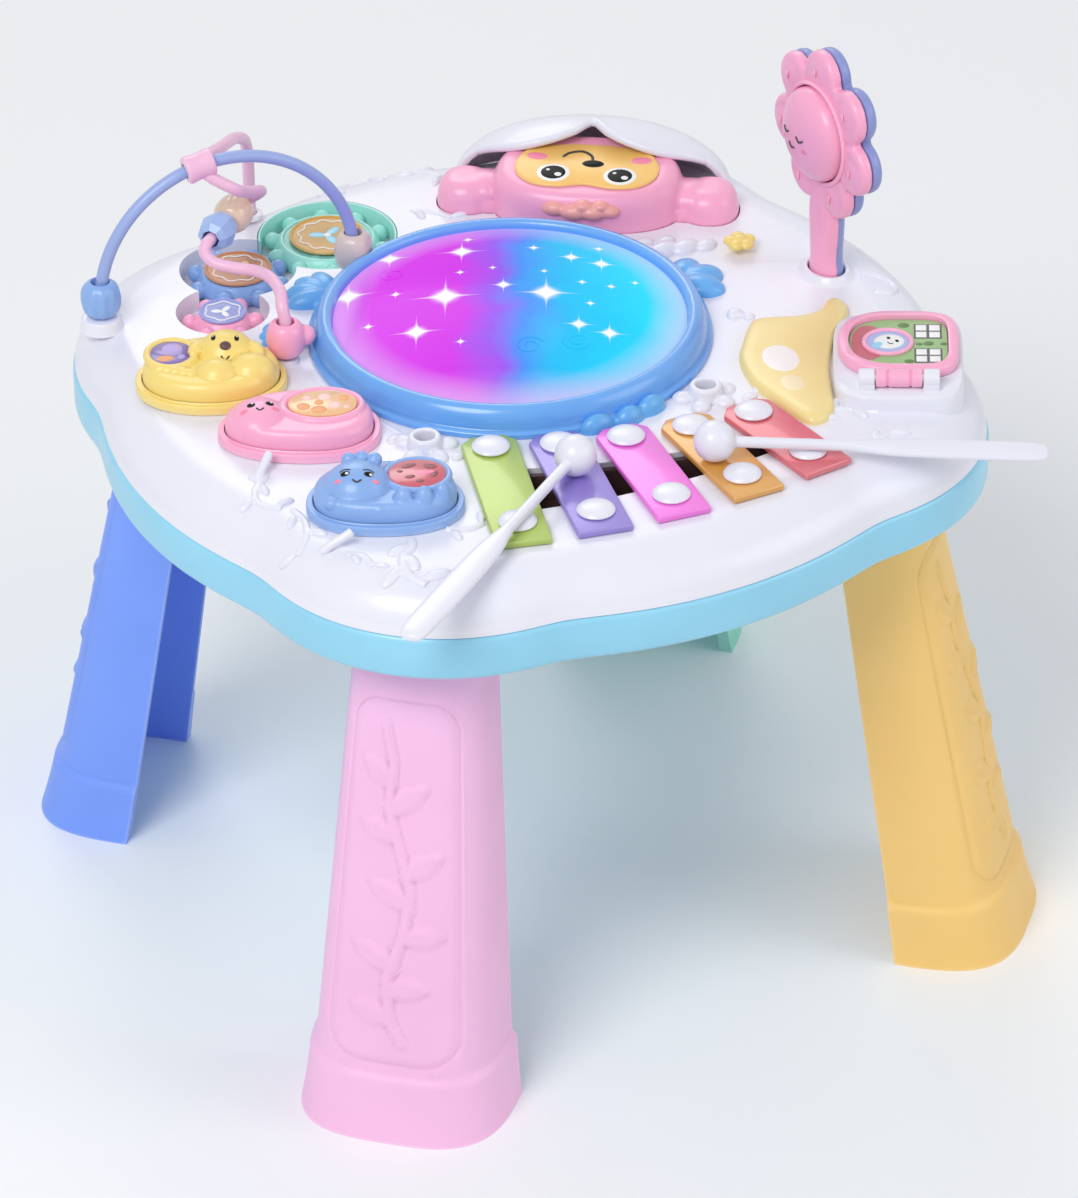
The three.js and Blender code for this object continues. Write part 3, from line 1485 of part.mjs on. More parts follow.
// Assembly: arch, wire and beads
piece('bead_arch', beadArch(), periwinkle, table);
piece('bead_wire', beadWire(), palePink, table);
const leftBeadRise = archPostHeight + gap + smallBeadRadius - archLegHeight;
const leftBeadAngle = 180 - THREE.MathUtils.radToDeg(Math.asin(leftBeadRise / archHalf));
const rightBeadRise = collarHeight + gap + beadRadius - archLegHeight;
const rightBeadAngle = THREE.MathUtils.radToDeg(Math.asin(rightBeadRise / archHalf));
const leftAxis = archTangent(leftBeadAngle);
const rightAxis = archTangent(rightBeadAngle);
const blueBead = bead(beadRadius, smallBeadRadius, 10);
const beigeBead = bead(beadRadius, beadRadius, 12);
const creamBead = bead(smallBeadRadius, beadHalf, 14);
const facetBead = bead(smallBeadRadius, beadHalf, 6);
threadBead('arch_bead_blue', blueBead, archPoint(leftBeadAngle), leftAxis, gearBlue);
threadBead('arch_bead_beige', beigeBead, archPoint(rightBeadAngle), rightAxis, beige);
threadBead('wire_bead_cream', creamBead, creamBeadPlace, threadedAxis, cream);
threadBead('wire_bead_blue', facetBead, facetBeadPlace, threadedAxis, gearBlue);
const lobedHeight = plateauTop + collarHeight + gap + beadRadius;
const lobedPlace = new THREE.Vector3(wireFrontX, wireFrontY, lobedHeight);
threadBead('wire_bead_pink', lobedBead(), lobedPlace, new THREE.Vector3(0, 0, 1), pink);

// Assembly: press keys
for (const key of keys) {
  const seat = station(key.x, key.y, 0, keyTurn);
  piece(key.name, keyBody(key), key.material, seat);
  piece(`${key.name}_base`, keyBase(key), key.material, seat);
  piece(`${key.name}_window`, keyWindow(key), key.windowMaterial, seat);
}

// Assembly: monkey, hood, button and banana
const monkey = station(monkeyX, monkeyY, 0, monkeyBearing);
piece('monkey_head', monkeyHead(), pink, monkey);
piece('monkey_face', monkeyFace(), yellow, monkey);
piece('hood', hood(), white, table);
piece('flower_button', flowerButton(), yellow, station(buttonX, buttonY));
piece('banana_panel', bananaPanel(), yellow, station(bananaX, bananaY, 0, bananaTurn));

// Assembly: flip door
const doorway = station(doorX, doorY, 0, doorBearing);
piece('flip_door', flipDoor(), pink, doorway);
piece('door_picture', doorPictureCard(), plastic(0x9cb06a), doorway);
piece('door_pin', barrelX(doorPinRadius, -knuckleOuter, knuckleOuter, doorPinHeight, 10), steel, doorway);

// Assembly: rattle
const rattleSeat = station(rattleX, rattleY, 0, rattleTurn);
piece('rattle_front', rattleHalf(true), pink, rattleSeat);
piece('rattle_back', rattleHalf(false), plastic(0x8c98cc), rattleSeat);
piece('rattle_face', rattleFace(), pink, rattleSeat);

// Assembly: inside
piece('main_board', mainBoard(), plastic(0x2f7d4f, 0.5), station(boardX, boardY));
piece('speaker', speaker(), plastic(0x2c2c30, 0.7), station(speakerX, speakerY));
for (let i = 0; i < batteryCount; i += 1) {
  const height = undersideHeight + batteryDoorWall + gap + batteryRadius;
  const place = station(0, (i - (batteryCount - 1) / 2) * batteryPitch, height);
  piece(`battery_${i + 1}`, battery(), metal(0x6f7f8c), place);
}
piece('battery_door', batteryDoor(), skyBlue, table);
piece('power_switch', powerSwitch(), darkPlastic, station(switchX, 0));

export default table;
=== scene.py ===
# %% [markdown]
# # A musical activity table, in cells
# The real object is a round toy table of moulded plastic on four channel legs, with a lit
# drum, chime bars, gears, bead wires and press keys. The frame holds its solids and joints,
# and each cell below makes or finishes one group of pieces around that frame.

# %% Load the frame
from math import atan2, cos, degrees, hypot, pi, radians, sin, sqrt

import bmesh
import bpy
from mathutils import Matrix, Vector


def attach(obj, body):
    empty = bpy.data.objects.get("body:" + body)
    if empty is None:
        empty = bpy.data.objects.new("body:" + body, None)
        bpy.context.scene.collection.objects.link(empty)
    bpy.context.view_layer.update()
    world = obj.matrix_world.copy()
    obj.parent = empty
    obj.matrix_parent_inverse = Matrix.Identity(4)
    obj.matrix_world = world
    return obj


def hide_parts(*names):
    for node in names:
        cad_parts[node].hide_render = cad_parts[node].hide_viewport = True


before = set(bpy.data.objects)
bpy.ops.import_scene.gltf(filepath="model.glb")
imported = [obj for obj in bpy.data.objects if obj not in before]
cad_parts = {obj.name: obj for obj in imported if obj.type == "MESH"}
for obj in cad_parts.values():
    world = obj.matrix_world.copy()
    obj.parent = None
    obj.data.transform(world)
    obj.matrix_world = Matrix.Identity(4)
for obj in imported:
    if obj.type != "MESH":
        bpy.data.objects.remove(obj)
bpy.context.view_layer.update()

MM = 0.001

# %% [markdown]
# ## The camera
# The photograph was taken from the front left and above, from far away with a long lens, so
# lines that are level stay nearly level. The camera is placed from three angles and a
# distance, which is easier to read than a matrix, and the small shift centres the frame.

# %% Camera
VIEW_AZIMUTH, VIEW_HEIGHT, VIEW_ROLL = radians(-28.484), radians(32.488), radians(-0.855)
VIEW_DISTANCE = 2.99573
VIEW_TARGET = Vector((0, 0, 0.14165))
LENS, SENSOR_WIDTH, FAR_END = 203.28, 36, 50
PHOTO_HEIGHT = 1198
SHIFT_X, SHIFT_Y = 9.67 / PHOTO_HEIGHT, -15.46 / PHOTO_HEIGHT


def new_object(name, data):
    made = bpy.data.objects.new(name, data)
    bpy.context.scene.collection.objects.link(made)
    return made


def add_camera():
    backward = Vector((
        sin(VIEW_AZIMUTH) * cos(VIEW_HEIGHT),
        -cos(VIEW_AZIMUTH) * cos(VIEW_HEIGHT),
        sin(VIEW_HEIGHT),
    ))
    level = Vector((cos(VIEW_AZIMUTH), sin(VIEW_AZIMUTH), 0))
    upward = backward.cross(level)
    right = cos(VIEW_ROLL) * level + sin(VIEW_ROLL) * upward
    top = cos(VIEW_ROLL) * upward - sin(VIEW_ROLL) * level
    camera = new_object("camera", bpy.data.cameras.new("camera"))
    turn = Matrix((right, top, backward)).transposed().to_4x4()
    camera.matrix_world = Matrix.Translation(VIEW_TARGET + VIEW_DISTANCE * backward) @ turn
    camera.data.lens = LENS
    camera.data.sensor_width = SENSOR_WIDTH
    camera.data.shift_x, camera.data.shift_y = SHIFT_X, SHIFT_Y
    camera.data.clip_end = FAR_END
    bpy.context.scene.camera = camera
    return camera


print("camera at", [round(x, 3) for x in add_camera().location])

# %% [markdown]
# ## Helpers for shader nodes
# A material is a graph of nodes. These helpers add one node in one line: every input is
# named once, and is linked if it is another node's output and set if it is a number.

# %% Node helpers
COLOUR, NUMBER, ARROW = "NodeSocketColor", "NodeSocketFloat", "NodeSocketVector"


def feed(tree, made, values):
    for key, value in values.items():
        if isinstance(value, bpy.types.NodeSocket):
            tree.links.new(value, made.inputs[key])
        else:
            made.inputs[key].default_value = value


def node(tree, kind, values=None, **settings):
    made = tree.nodes.new("ShaderNode" + kind)
    for key, value in settings.items():
        setattr(made, key, value)
    feed(tree, made, values or {})
    return made


def maths(tree, operation, *values, **settings):
    return node(tree, "Math", dict(enumerate(values)), operation=operation, **settings).outputs[0]


def mix_colour(tree, share, first, second):
    return node(tree, "Mix", {0: share, 6: first, 7: second}, data_type="RGBA").outputs[2]


def spread(tree, value, low, high, to_low=0.0, to_high=1.0):
    """The value's span from low to high becomes to_low to to_high, and stops there."""
    return node(tree, "MapRange", {
        "Value": value, "From Min": low, "From Max": high, "To Min": to_low, "To Max": to_high,
    }).outputs["Result"]


def object_place(tree):
    return node(tree, "TexCoord").outputs["Object"]


def new_group(name, inputs, outputs):
    """An empty node group, what it is given and the node that its results go to."""
    group = bpy.data.node_groups.new(name, "ShaderNodeTree")
    for label, (kind, value) in inputs.items():
        group.interface.new_socket(label, in_out="INPUT", socket_type=kind).default_value = value
    for label, kind in outputs.items():
        group.interface.new_socket(label, in_out="OUTPUT", socket_type=kind)
    return group, group.nodes.new("NodeGroupInput").outputs, group.nodes.new("NodeGroupOutput")


def bare_material(name):
    finish = bpy.data.materials.new(name)
    finish.use_nodes = True
    tree = finish.node_tree
    return finish, tree, tree.nodes["Principled BSDF"]


# %% [markdown]
# ## Light and floor
# The photograph has the even light of a white studio. Large soft lamps give the plastic
# its slow gradients, and the world fills the shadows. Only the camera and mirror-like rays
# see the world as white, so the background is bright without more light on the table.

# %% Light and floor
LAMPS = [  # name, place, height that it aims at, width and watts
    ("key_lamp", (-1.5, -0.9, 2.1), 0.2, 1.3, 30), ("fill_lamp", (1.6, -1.6, 1.5), 0.2, 1.6, 11),
    ("rim_lamp", (0.6, 1.9, 1.8), 0.25, 1.2, 10),
]
SKY_TINT, SKY_STRENGTH = (0.93, 0.95, 1, 1), 0.5
FLOOR_HALF, FLOOR_TONE = 8, 0.965


def add_lamp(name, place, aim_height, size, watts):
    lamp = new_object(name, bpy.data.lights.new(name, "AREA"))
    lamp.data.shape = "DISK"
    lamp.data.size = size
    lamp.data.energy = watts
    lamp.location = place
    aim = Vector((0, 0, aim_height)) - Vector(place)
    lamp.rotation_euler = aim.to_track_quat("-Z", "Y").to_euler()


def add_world():
    """Camera, mirror and glass rays see white, and all other rays a dimmer sky."""
    world = bpy.data.worlds.new("studio")
    bpy.context.scene.world = world
    world.use_nodes = True
    tree = world.node_tree
    lit = tree.nodes["Background"]
    feed(tree, lit, {"Color": SKY_TINT, "Strength": SKY_STRENGTH})
    seen = node(tree, "Background", {"Color": (1, 1, 1, 1), "Strength": 1})
    path = node(tree, "LightPath").outputs
    sharp_ray = maths(tree, "MAXIMUM", path["Is Camera Ray"], path["Is Glossy Ray"])
    sharp_ray = maths(tree, "MAXIMUM", sharp_ray, path["Is Transmission Ray"])
    mix = node(tree, "MixShader", {0: sharp_ray, 1: lit.outputs[0], 2: seen.outputs[0]})
    feed(tree, tree.nodes["World Output"], {"Surface": mix.outputs[0]})


def lay_floor():
    bm = bmesh.new()
    bmesh.ops.create_grid(bm, x_segments=1, y_segments=1, size=FLOOR_HALF)
    mesh = bpy.data.meshes.new("floor")
    bm.to_mesh(mesh)
    bm.free()
    paper, tree, shader = bare_material("floor_paper")
    feed(tree, shader, {
        "Base Color": (FLOOR_TONE, FLOOR_TONE, FLOOR_TONE, 1), "Roughness": 0.9,
        "Specular IOR Level": 0.1,
    })
    mesh.materials.append(paper)
    new_object("floor", mesh)


add_world()
for lamp_values in LAMPS:
    add_lamp(*lamp_values)
lay_floor()
bpy.context.scene.view_settings.view_transform = "Standard"

# %% [markdown]
# ## One skin for all the moulded plastic
# Every plastic piece here came out of a polished steel mould, so all of them share the same
# faint things: slow changes of tone where the wall is thicker, a very fine orange-peel
# texture and slightly paler worn edges. The creases also get a darker colour, which is
# painted shade. They are one node group, built once, and each plastic places it with its
# own values.

# %% Moulded skin node group
def make_moulded_skin():
    # The deep colour serves both the slow mottle and the painted shade in creases.
    group, given, out = new_group("moulded_skin", {
        "Colour": (COLOUR, (0.8, 0.8, 0.8, 1)), "Mottle and crease shade colour": (COLOUR, (0.5, 0.5, 0.5, 1)),
        "Worn colour": (COLOUR, (1, 1, 1, 1)), "Mottle": (NUMBER, 0.12),
        "Wear": (NUMBER, 0.35), "Roughness": (NUMBER, 0.35), "Grain": (NUMBER, 0.12),
    }, {"Colour": COLOUR, "Roughness": NUMBER, "Normal": ARROW})
    place = object_place(group)
    slow = node(group, "TexNoise", {"Vector": place, "Scale": 22, "Detail": 3}).outputs["Fac"]
    fine = node(group, "TexNoise", {"Vector": place, "Scale": 750, "Detail": 2}).outputs["Fac"]
    bend = node(group, "NewGeometry").outputs["Pointiness"]
    tone = maths(group, "MULTIPLY", spread(group, slow, 0.35, 0.75), given["Mottle"])
    base = mix_colour(group, tone, given["Colour"], given["Mottle and crease shade colour"])
    # Where the pointiness is low, in creases, the colour goes to the darker one: painted shade.
    crease_shaded = mix_colour(group, spread(group, bend, 0.49, 0.44), base, given["Mottle and crease shade colour"])
    worn = maths(group, "MULTIPLY", spread(group, bend, 0.53, 0.6), given["Wear"])
    bump = node(group, "Bump", {"Distance": 0.00008, "Strength": given["Grain"], "Height": fine})
    feed(group, out, {
        "Colour": mix_colour(group, worn, crease_shaded, given["Worn colour"]),
        "Roughness": maths(group, "MULTIPLY_ADD", slow, 0.1, given["Roughness"]),
        "Normal": bump.outputs["Normal"],
    })
    return group


MOULDED_SKIN = make_moulded_skin()
SKIN_OUTPUTS = {"Colour": "Base Color", "Roughness": "Roughness", "Normal": "Normal"}


def linear(red, green, blue):
    """A colour as it looks on a screen, turned into the light values that shaders use."""
    light = (((c + 0.055) / 1.055) ** 2.4 if c > 0.04 else c / 12.92 for c in (red, green, blue))
    return (*light, 1)


def mottle_and_crease_shade(colour, share):
    """The same colour darker and a little richer: the mottle's deep tone and the painted shade in
    creases.
    """
    middle = sum(colour[:3]) / 3
    return (*(max(0, c * share - 0.12 * (middle - c)) for c in colour[:3]), 1)


def paler(colour):
    return (*(c + (1 - c) * 0.5 for c in colour[:3]), 1)


def plastic(name, rgb, rough=0.3, mottle=0.12, wear=0.3, grain=0.12, coat=0.15, depth=0.55):
    finish, tree, shader = bare_material(name)
    colour = linear(*rgb)
    # depth sets how dark the mottle's deep tone and the painted crease shade are.
    skin = node(tree, "Group", {
        "Colour": colour, "Mottle and crease shade colour": mottle_and_crease_shade(colour, depth), "Worn colour": paler(colour),
        "Mottle": mottle, "Wear": wear, "Roughness": rough, "Grain": grain,
    }, node_tree=MOULDED_SKIN)
    feed(tree, shader, {socket: skin.outputs[label] for label, socket in SKIN_OUTPUTS.items()})
    feed(tree, shader, {"IOR": 1.49, "Coat Weight": coat, "Coat Roughness": 0.12})
    return finish


print("groups:", [g.name for g in bpy.data.node_groups])

# %% [markdown]
# ## The plastics and paints
# Each colour is written as it looks in the photograph. Glossy housings get a low roughness
# and a light coat, legs are satin, and the chime bars are painted steel.

# %% Plastics
SATIN = {"rough": 0.42, "coat": 0.05, "grain": 0.2}
WHITE = plastic("white_plastic", (0.925, 0.925, 0.965), 0.27, mottle=0.05, depth=0.72)
SKY = plastic("sky_blue_plastic", (0.6, 0.86, 0.96), 0.28, mottle=0.18)
LEG_PINK = plastic("pale_pink_plastic", (0.99, 0.77, 0.92), depth=0.66, **SATIN)
LEG_YELLOW = plastic("sand_yellow_plastic", (0.99, 0.82, 0.49), depth=0.62, **SATIN)
LEG_BLUE = plastic("leg_blue_plastic", (0.49, 0.64, 1.0), **SATIN)
LEG_MINT = plastic("mint_leg_plastic", (0.56, 0.88, 0.8), **SATIN)
DRUM_BLUE = plastic("drum_blue_plastic", (0.42, 0.68, 0.96), 0.2, mottle=0.25, coat=0.4)
FIN_BLUE = plastic("fin_blue_plastic", (0.42, 0.71, 0.95), 0.25, mottle=0.25)
PINK = plastic("pink_plastic", (1.0, 0.69, 0.82), 0.27, depth=0.74)
BLUSH = plastic("blush_plastic", (0.99, 0.55, 0.68), 0.35)
YELLOW = plastic("yellow_plastic", (0.98, 0.87, 0.5), depth=0.66)
FACE_YELLOW = plastic("face_yellow_plastic", (1.0, 0.81, 0.46), depth=0.75)
GEAR_BLUE = plastic("gear_blue_plastic", (0.55, 0.7, 0.92))
MINT = plastic("mint_plastic", (0.64, 0.93, 0.88))
PERIWINKLE = plastic("periwinkle_plastic", (0.61, 0.69, 0.9))
WIRE_PINK = plastic("wire_pink_plastic", (0.97, 0.76, 0.88), 0.28)
BEIGE = plastic("beige_bead_plastic", (0.85, 0.79, 0.77), 0.26)
CREAM = plastic("cream_bead_plastic", (0.97, 0.86, 0.74), 0.18, coat=0.5)
LILAC = plastic("lilac_plastic", (0.55, 0.6, 0.83))
SALMON = plastic("salmon_plastic", (0.98, 0.68, 0.66))
BROWN = plastic("brown_recess_plastic", (0.36, 0.25, 0.25), 0.5, coat=0)
BLACK_PLASTIC = plastic("black_plastic", (0.13, 0.13, 0.14), 0.45, grain=0.4)
BANANA_SKIN = plastic("banana_plastic", (0.97, 0.88, 0.6), mottle=0.3, depth=0.8)

# %% Prints and paints
PRINT_BLACK = plastic("black_print", (0.03, 0.02, 0.03), 0.35, mottle=0, coat=0)
PRINT_BLACK.node_tree.nodes["Principled BSDF"].inputs["IOR"].default_value = 1.25
PRINT_WHITE = plastic("white_print", (0.97, 0.97, 0.96), 0.4, mottle=0.02, depth=0.8)
PRINT_RED = plastic("red_print", (0.76, 0.2, 0.3), 0.35)
PRINT_ORANGE = plastic("orange_print", (0.93, 0.62, 0.36), 0.35)
PRINT_GREEN = plastic("green_print", (0.55, 0.73, 0.42), 0.4)
LEAF_GREEN = plastic("dark_green_print", (0.36, 0.5, 0.26), 0.4)
PALE_LILAC = plastic("pale_lilac_print", (0.68, 0.6, 0.86))
PALE_ROSE = plastic("pale_rose_print", (0.99, 0.78, 0.74))
DARK_RED = plastic("dark_red_print", (0.5, 0.12, 0.18))
PALE_MARK = plastic("banana_print", (0.97, 0.94, 0.93), 0.35, mottle=0.02, depth=0.85)
CREAM_MARK = plastic("banana_cream_print", (0.98, 0.91, 0.74), 0.35, mottle=0.02, depth=0.85)
BAR_COLOURS = {
    "green_bar": (0.66, 0.76, 0.24), "purple_bar": (0.55, 0.46, 0.82),
    "magenta_bar": (0.95, 0.4, 0.86), "ochre_bar": (0.86, 0.6, 0.12),
    "red_bar": (0.87, 0.36, 0.42),
}


def painted_metal(name, rgb):
    finish = plastic(name, rgb, mottle=0.15, wear=0.6, grain=0.25, coat=0.45)
    finish.node_tree.nodes["Principled BSDF"].inputs["Metallic"].default_value = 0.12
    return finish


STEEL, steel_tree, steel_shader = bare_material("pin_steel")
feed(steel_tree, steel_shader, {
    "Base Color": (0.72, 0.74, 0.77, 1), "Metallic": 1, "Roughness": 0.28,
})
print("materials:", len(bpy.data.materials))

# %% [markdown]
# ## Tools of this workshop
# Most pieces are rings of points that rise and change as they go, which is a loft: one
# circle, extruded edge by edge and set in place each time. Round ones are spun. Lumpy
# mouldings, such as a head with its ears, are loose forms melted together by a voxel
# remesh, which leaves the soft inside corners of a real mould. All of it is in millimetres
# and becomes metres when the piece is finished.

# %% Lofts, spins and tubes
SHARP = radians(38)
UPWARD = Vector((0, 0, 1))


def oval(half_x, half_y, fullness=2.0, taper=0.0):
    """An outline by its turn from 0 to 1: fullness 2 is an ellipse, more fills the corners."""
    def point(turn):
        c, s = cos(2 * pi * turn), sin(2 * pi * turn)
        scale = (abs(c) ** fullness + abs(s) ** fullness) ** (-1 / fullness)
        x, y = c * scale, s * scale
        return half_x * x, half_y * y * (1 + taper * x)
    return point


def shrunk(outline, share, middle=(0, 0)):
    def point(turn):
        x, y = outline(turn)
        return middle[0] + (x - middle[0]) * share, middle[1] + (y - middle[1]) * share
    return point


def polygon(points):
    """The outline through these corners, evenly walked."""
    lengths = [hypot(b[0] - a[0], b[1] - a[1]) for a, b in zip(points, points[1:] + points[:1])]
    whole = sum(lengths)

    def point(turn):
        left = (turn % 1) * whole
        for (ax, ay), (bx, by), length in zip(points, points[1:] + points[:1], lengths):
            if left <= length:
                share = left / length
                return ax + (bx - ax) * share, ay + (by - ay) * share
            left -= length
        return points[0]
    return point


def smooth_line(points, steps):
    """Points along a soft curve through the given ones, which may be in 2 or 3 dimensions."""
    size = len(points[0])
    spans = len(points) - 1
    made = []
    for k in range(steps + 1):
        place = spans * k / steps
        i = min(int(place), spans - 1)
        t = place - i
        p0, p1, p2, p3 = (points[max(0, min(spans, j))] for j in (i - 1, i, i + 1, i + 2))
        made.append(tuple(
            0.5 * (2 * p1[n] + (p2[n] - p0[n]) * t
                   + (2 * p0[n] - 5 * p1[n] + 4 * p2[n] - p3[n]) * t * t
                   + (3 * p1[n] - p0[n] - 3 * p2[n] + p3[n]) * t ** 3)
            for n in range(size)
        ))
    return made


def closed_line(points, steps):
    """A soft closed outline through the given corners, by its turn."""
    count = len(points)
    wrapped = [points[-1]] + points + points[:2]
    line = smooth_line(wrapped, steps * (count + 2))[steps:-steps]
    return polygon(line[:-1])


def set_ring(ring, outline, height):
    for i, v in enumerate(ring):
        x, y = outline(i / len(ring))
        v.co = (x, y, height(x, y) if callable(height) else height)


def circle(radius, count, x=0.0, y=0.0, start=0.0):
    """Evenly spaced points on a circle."""
    turns = (start + 2 * pi * k / count for k in range(count))
    return [(x + radius * cos(a), y + radius * sin(a)) for a in turns]


def close_channel(bm, ring, width):
    """Closes the end of a channel: a strip between the outer and the inner part of it."""
    count = len(ring)
    for i in range(width - 1):
        corners = [ring[i], ring[i + 1], ring[count - 2 - i], ring[count - 1 - i]]
        bmesh.ops.contextual_create(bm, geom=corners)


def loft(levels, steps=64, capped=True, channel=0):
    """A bmesh that rises through the levels, each an outline and a height."""
    bm = bmesh.new()
    ring = bmesh.ops.create_circle(bm, segments=steps, radius=1)["verts"]
    set_ring(ring, *levels[0])
    first = list(ring)
    for outline, height in levels[1:]:
        number = {v: i for i, v in enumerate(ring)}
        edges = [e for e in bm.edges if e.verts[0] in number and e.verts[1] in number]
        made = bmesh.ops.extrude_edge_only(bm, edges=edges)["geom"]
        above = [None] * steps
        for v in (g for g in made if isinstance(g, bmesh.types.BMVert)):
            for e in v.link_edges:
                below = e.other_vert(v)
                if below in number:
                    above[number[below]] = v
        ring = above
        set_ring(ring, outline, height)
    for loop in (first, ring):
        if channel:
            close_channel(bm, loop, channel)
        elif capped:
            held = set(loop)
            bmesh.ops.contextual_create(bm, geom=[e for e in bm.edges if held.issuperset(e.verts)])
    bmesh.ops.recalc_face_normals(bm, faces=bm.faces)
    return bm


def crowned(outline, profile, steps=64, tilt=0.0, middle=(0, 0)):
    """A loft of one outline: each step of the profile is a share of its reach and a height."""
    low, high = profile[0][1], profile[-1][1]

    def level(share, height):
        return shrunk(outline, share, middle), (
            lambda x, y: height + tilt * y * (height - low) / (high - low))
    return loft([level(*step) for step in profile], steps)


def prism(outline, low, high, steps=48):
    return loft([(outline, low), (outline, high)], steps)


def closed_loft(levels, steps):
    """A loft whose last level is its first again, so that it needs no ends."""
    bm = loft(levels, steps, capped=False)
    bmesh.ops.remove_doubles(bm, verts=bm.verts, dist=1e-4)
    bmesh.ops.recalc_face_normals(bm, faces=bm.faces)
    return bm


def spun(profile, steps=96):
    """A form turned on Z from a profile of radii and heights."""
    bm = bmesh.new()
    verts = [bm.verts.new((r, 0, z)) for r, z in profile]
    edges = [bm.edges.new(pair) for pair in zip(verts, verts[1:])]
    if profile[0] == profile[-1]:
        bmesh.ops.remove_doubles(bm, verts=verts, dist=1e-5)
        verts, edges = bm.verts[:], bm.edges[:]
    bmesh.ops.spin(bm, geom=verts + edges, cent=(0, 0, 0), axis=UPWARD, angle=2 * pi,
                   steps=steps, use_merge=True, use_duplicate=False)
    bmesh.ops.remove_doubles(bm, verts=bm.verts, dist=1e-4)
    bmesh.ops.recalc_face_normals(bm, faces=bm.faces)
    return bm


def rod(radius, low, high, steps=32):
    return spun([(0, low), (radius, low), (radius, high), (0, high)], steps)


def slab(corners, low, high, round_edge=0.0):
    """A flat plate of the given corners, with softened edges."""
    bm = bmesh.new()
    ring = bmesh.ops.create_circle(bm, cap_ends=True, segments=len(corners), radius=1)["verts"]
    for v, (x, y) in zip(ring, corners):
        v.co = x, y, low
    lifted = bmesh.ops.extrude_face_region(bm, geom=bm.faces[:])["geom"]
    above = [g for g in lifted if isinstance(g, bmesh.types.BMVert)]
    bmesh.ops.translate(bm, vec=(0, 0, high - low), verts=above)
    bmesh.ops.recalc_face_normals(bm, faces=bm.faces)
    if round_edge:
        bmesh.ops.bevel(bm, geom=bm.edges[:], offset=round_edge, offset_type="OFFSET",
                        affect="EDGES", segments=3, profile=0.5, material=-1,
                        clamp_overlap=True)
    return bm


def box(x_low, x_high, y_low, y_high, low, high, round_edge=0.0):
    corners = [(x_low, y_low), (x_high, y_low), (x_high, y_high), (x_low, y_high)]
    return slab(corners, low, high, round_edge)


def tube(points, radius, sides=16, cyclic=False):
    """A round tube along the points. Its ends are closed."""
    line = bpy.data.curves.new("line", "CURVE")
    line.dimensions = "3D"
    line.bevel_depth = radius
    line.bevel_resolution = sides // 4
    line.use_fill_caps = True
    spline = line.splines.new("POLY")
    spline.points.add(len(points) - 1)
    for control, point in zip(spline.points, points):
        control.co = (*point, 1)
    spline.use_cyclic_u = cyclic
    holder = bpy.data.objects.new("line", line)
    mesh = bpy.data.meshes.new_from_object(holder)
    bm = bmesh.new()
    bm.from_mesh(mesh)
    bpy.data.objects.remove(holder)
    bpy.data.curves.remove(line)
    bpy.data.meshes.remove(mesh)
    bmesh.ops.remove_doubles(bm, verts=bm.verts, dist=1e-4)
    bmesh.ops.recalc_face_normals(bm, faces=bm.faces)
    return bm


def ball(radii, place=(0, 0, 0), steps=32):
    """A round form with its own three radii, which other forms are melted into."""
    bm = bmesh.new()
    bmesh.ops.create_uvsphere(bm, u_segments=steps, v_segments=steps // 2, radius=1)
    bmesh.ops.scale(bm, vec=radii, verts=bm.verts)
    bmesh.ops.translate(bm, vec=place, verts=bm.verts)
    return bm


def placed(bm, x=0.0, y=0.0, z=0.0, turn=0.0, tip=None):
    """Turns a form by degrees on Z, after an optional first turn, and moves it."""
    matrix = Matrix.Translation((x, y, z)) @ Matrix.Rotation(radians(turn), 4, "Z")
    if tip:
        matrix = matrix @ Matrix.Rotation(radians(tip[0]), 4, tip[1])
    bmesh.ops.transform(bm, matrix=matrix, verts=bm.verts)
    return bm


def together(forms):
    """Several forms in one mesh."""
    whole = bmesh.new()
    for form in forms:
        mesh = bpy.data.meshes.new("part")
        form.to_mesh(mesh)
        form.free()
        whole.from_mesh(mesh)
        bpy.data.meshes.remove(mesh)
    return whole


# %% Modifiers on a form
def as_object(bm, name="work"):
    mesh = bpy.data.meshes.new(name)
    bm.to_mesh(mesh)
    bm.free()
    return new_object(name, mesh)


def dropped(worked):
    """Deletes an object and its mesh."""
    mesh = worked.data
    bpy.data.objects.remove(worked)
    bpy.data.meshes.remove(mesh)


def as_form(worked):
    """The object with its modifiers applied, as a bmesh again."""
    seen = worked.evaluated_get(bpy.context.evaluated_depsgraph_get())
    mesh = bpy.data.meshes.new_from_object(seen)
    bm = bmesh.new()
    bm.from_mesh(mesh)
    dropped(worked)
    bpy.data.meshes.remove(mesh)
    return bm


def melted(forms, voxel=0.8, rounds=4, share=0.6):
    """Overlapping closed forms as one skin, with soft inside corners."""
    work = as_object(together(forms))
    remesh = work.modifiers.new("melt", "REMESH")
    remesh.mode = "VOXEL"
    remesh.voxel_size = voxel
    relax = work.modifiers.new("relax", "SMOOTH")
    relax.factor, relax.iterations = share, rounds
    return as_form(work)


def carved(form, cutters, soft_edge=0.0):
    """Cuts a form with closed forms, and softens the sharp edges that are left."""
    work = as_object(form)
    helpers = [as_object(cutter, "helper") for cutter in cutters]
    for helper in helpers:
        step = work.modifiers.new("step", "BOOLEAN")
        step.operation, step.object, step.solver = "DIFFERENCE", helper, "MANIFOLD"
    if soft_edge:
        ease = work.modifiers.new("ease", "BEVEL")
        ease.width, ease.segments = soft_edge, 2
        ease.limit_method, ease.angle_limit = "ANGLE", radians(40)
    made = as_form(work)
    for helper in helpers:
        dropped(helper)
    return made


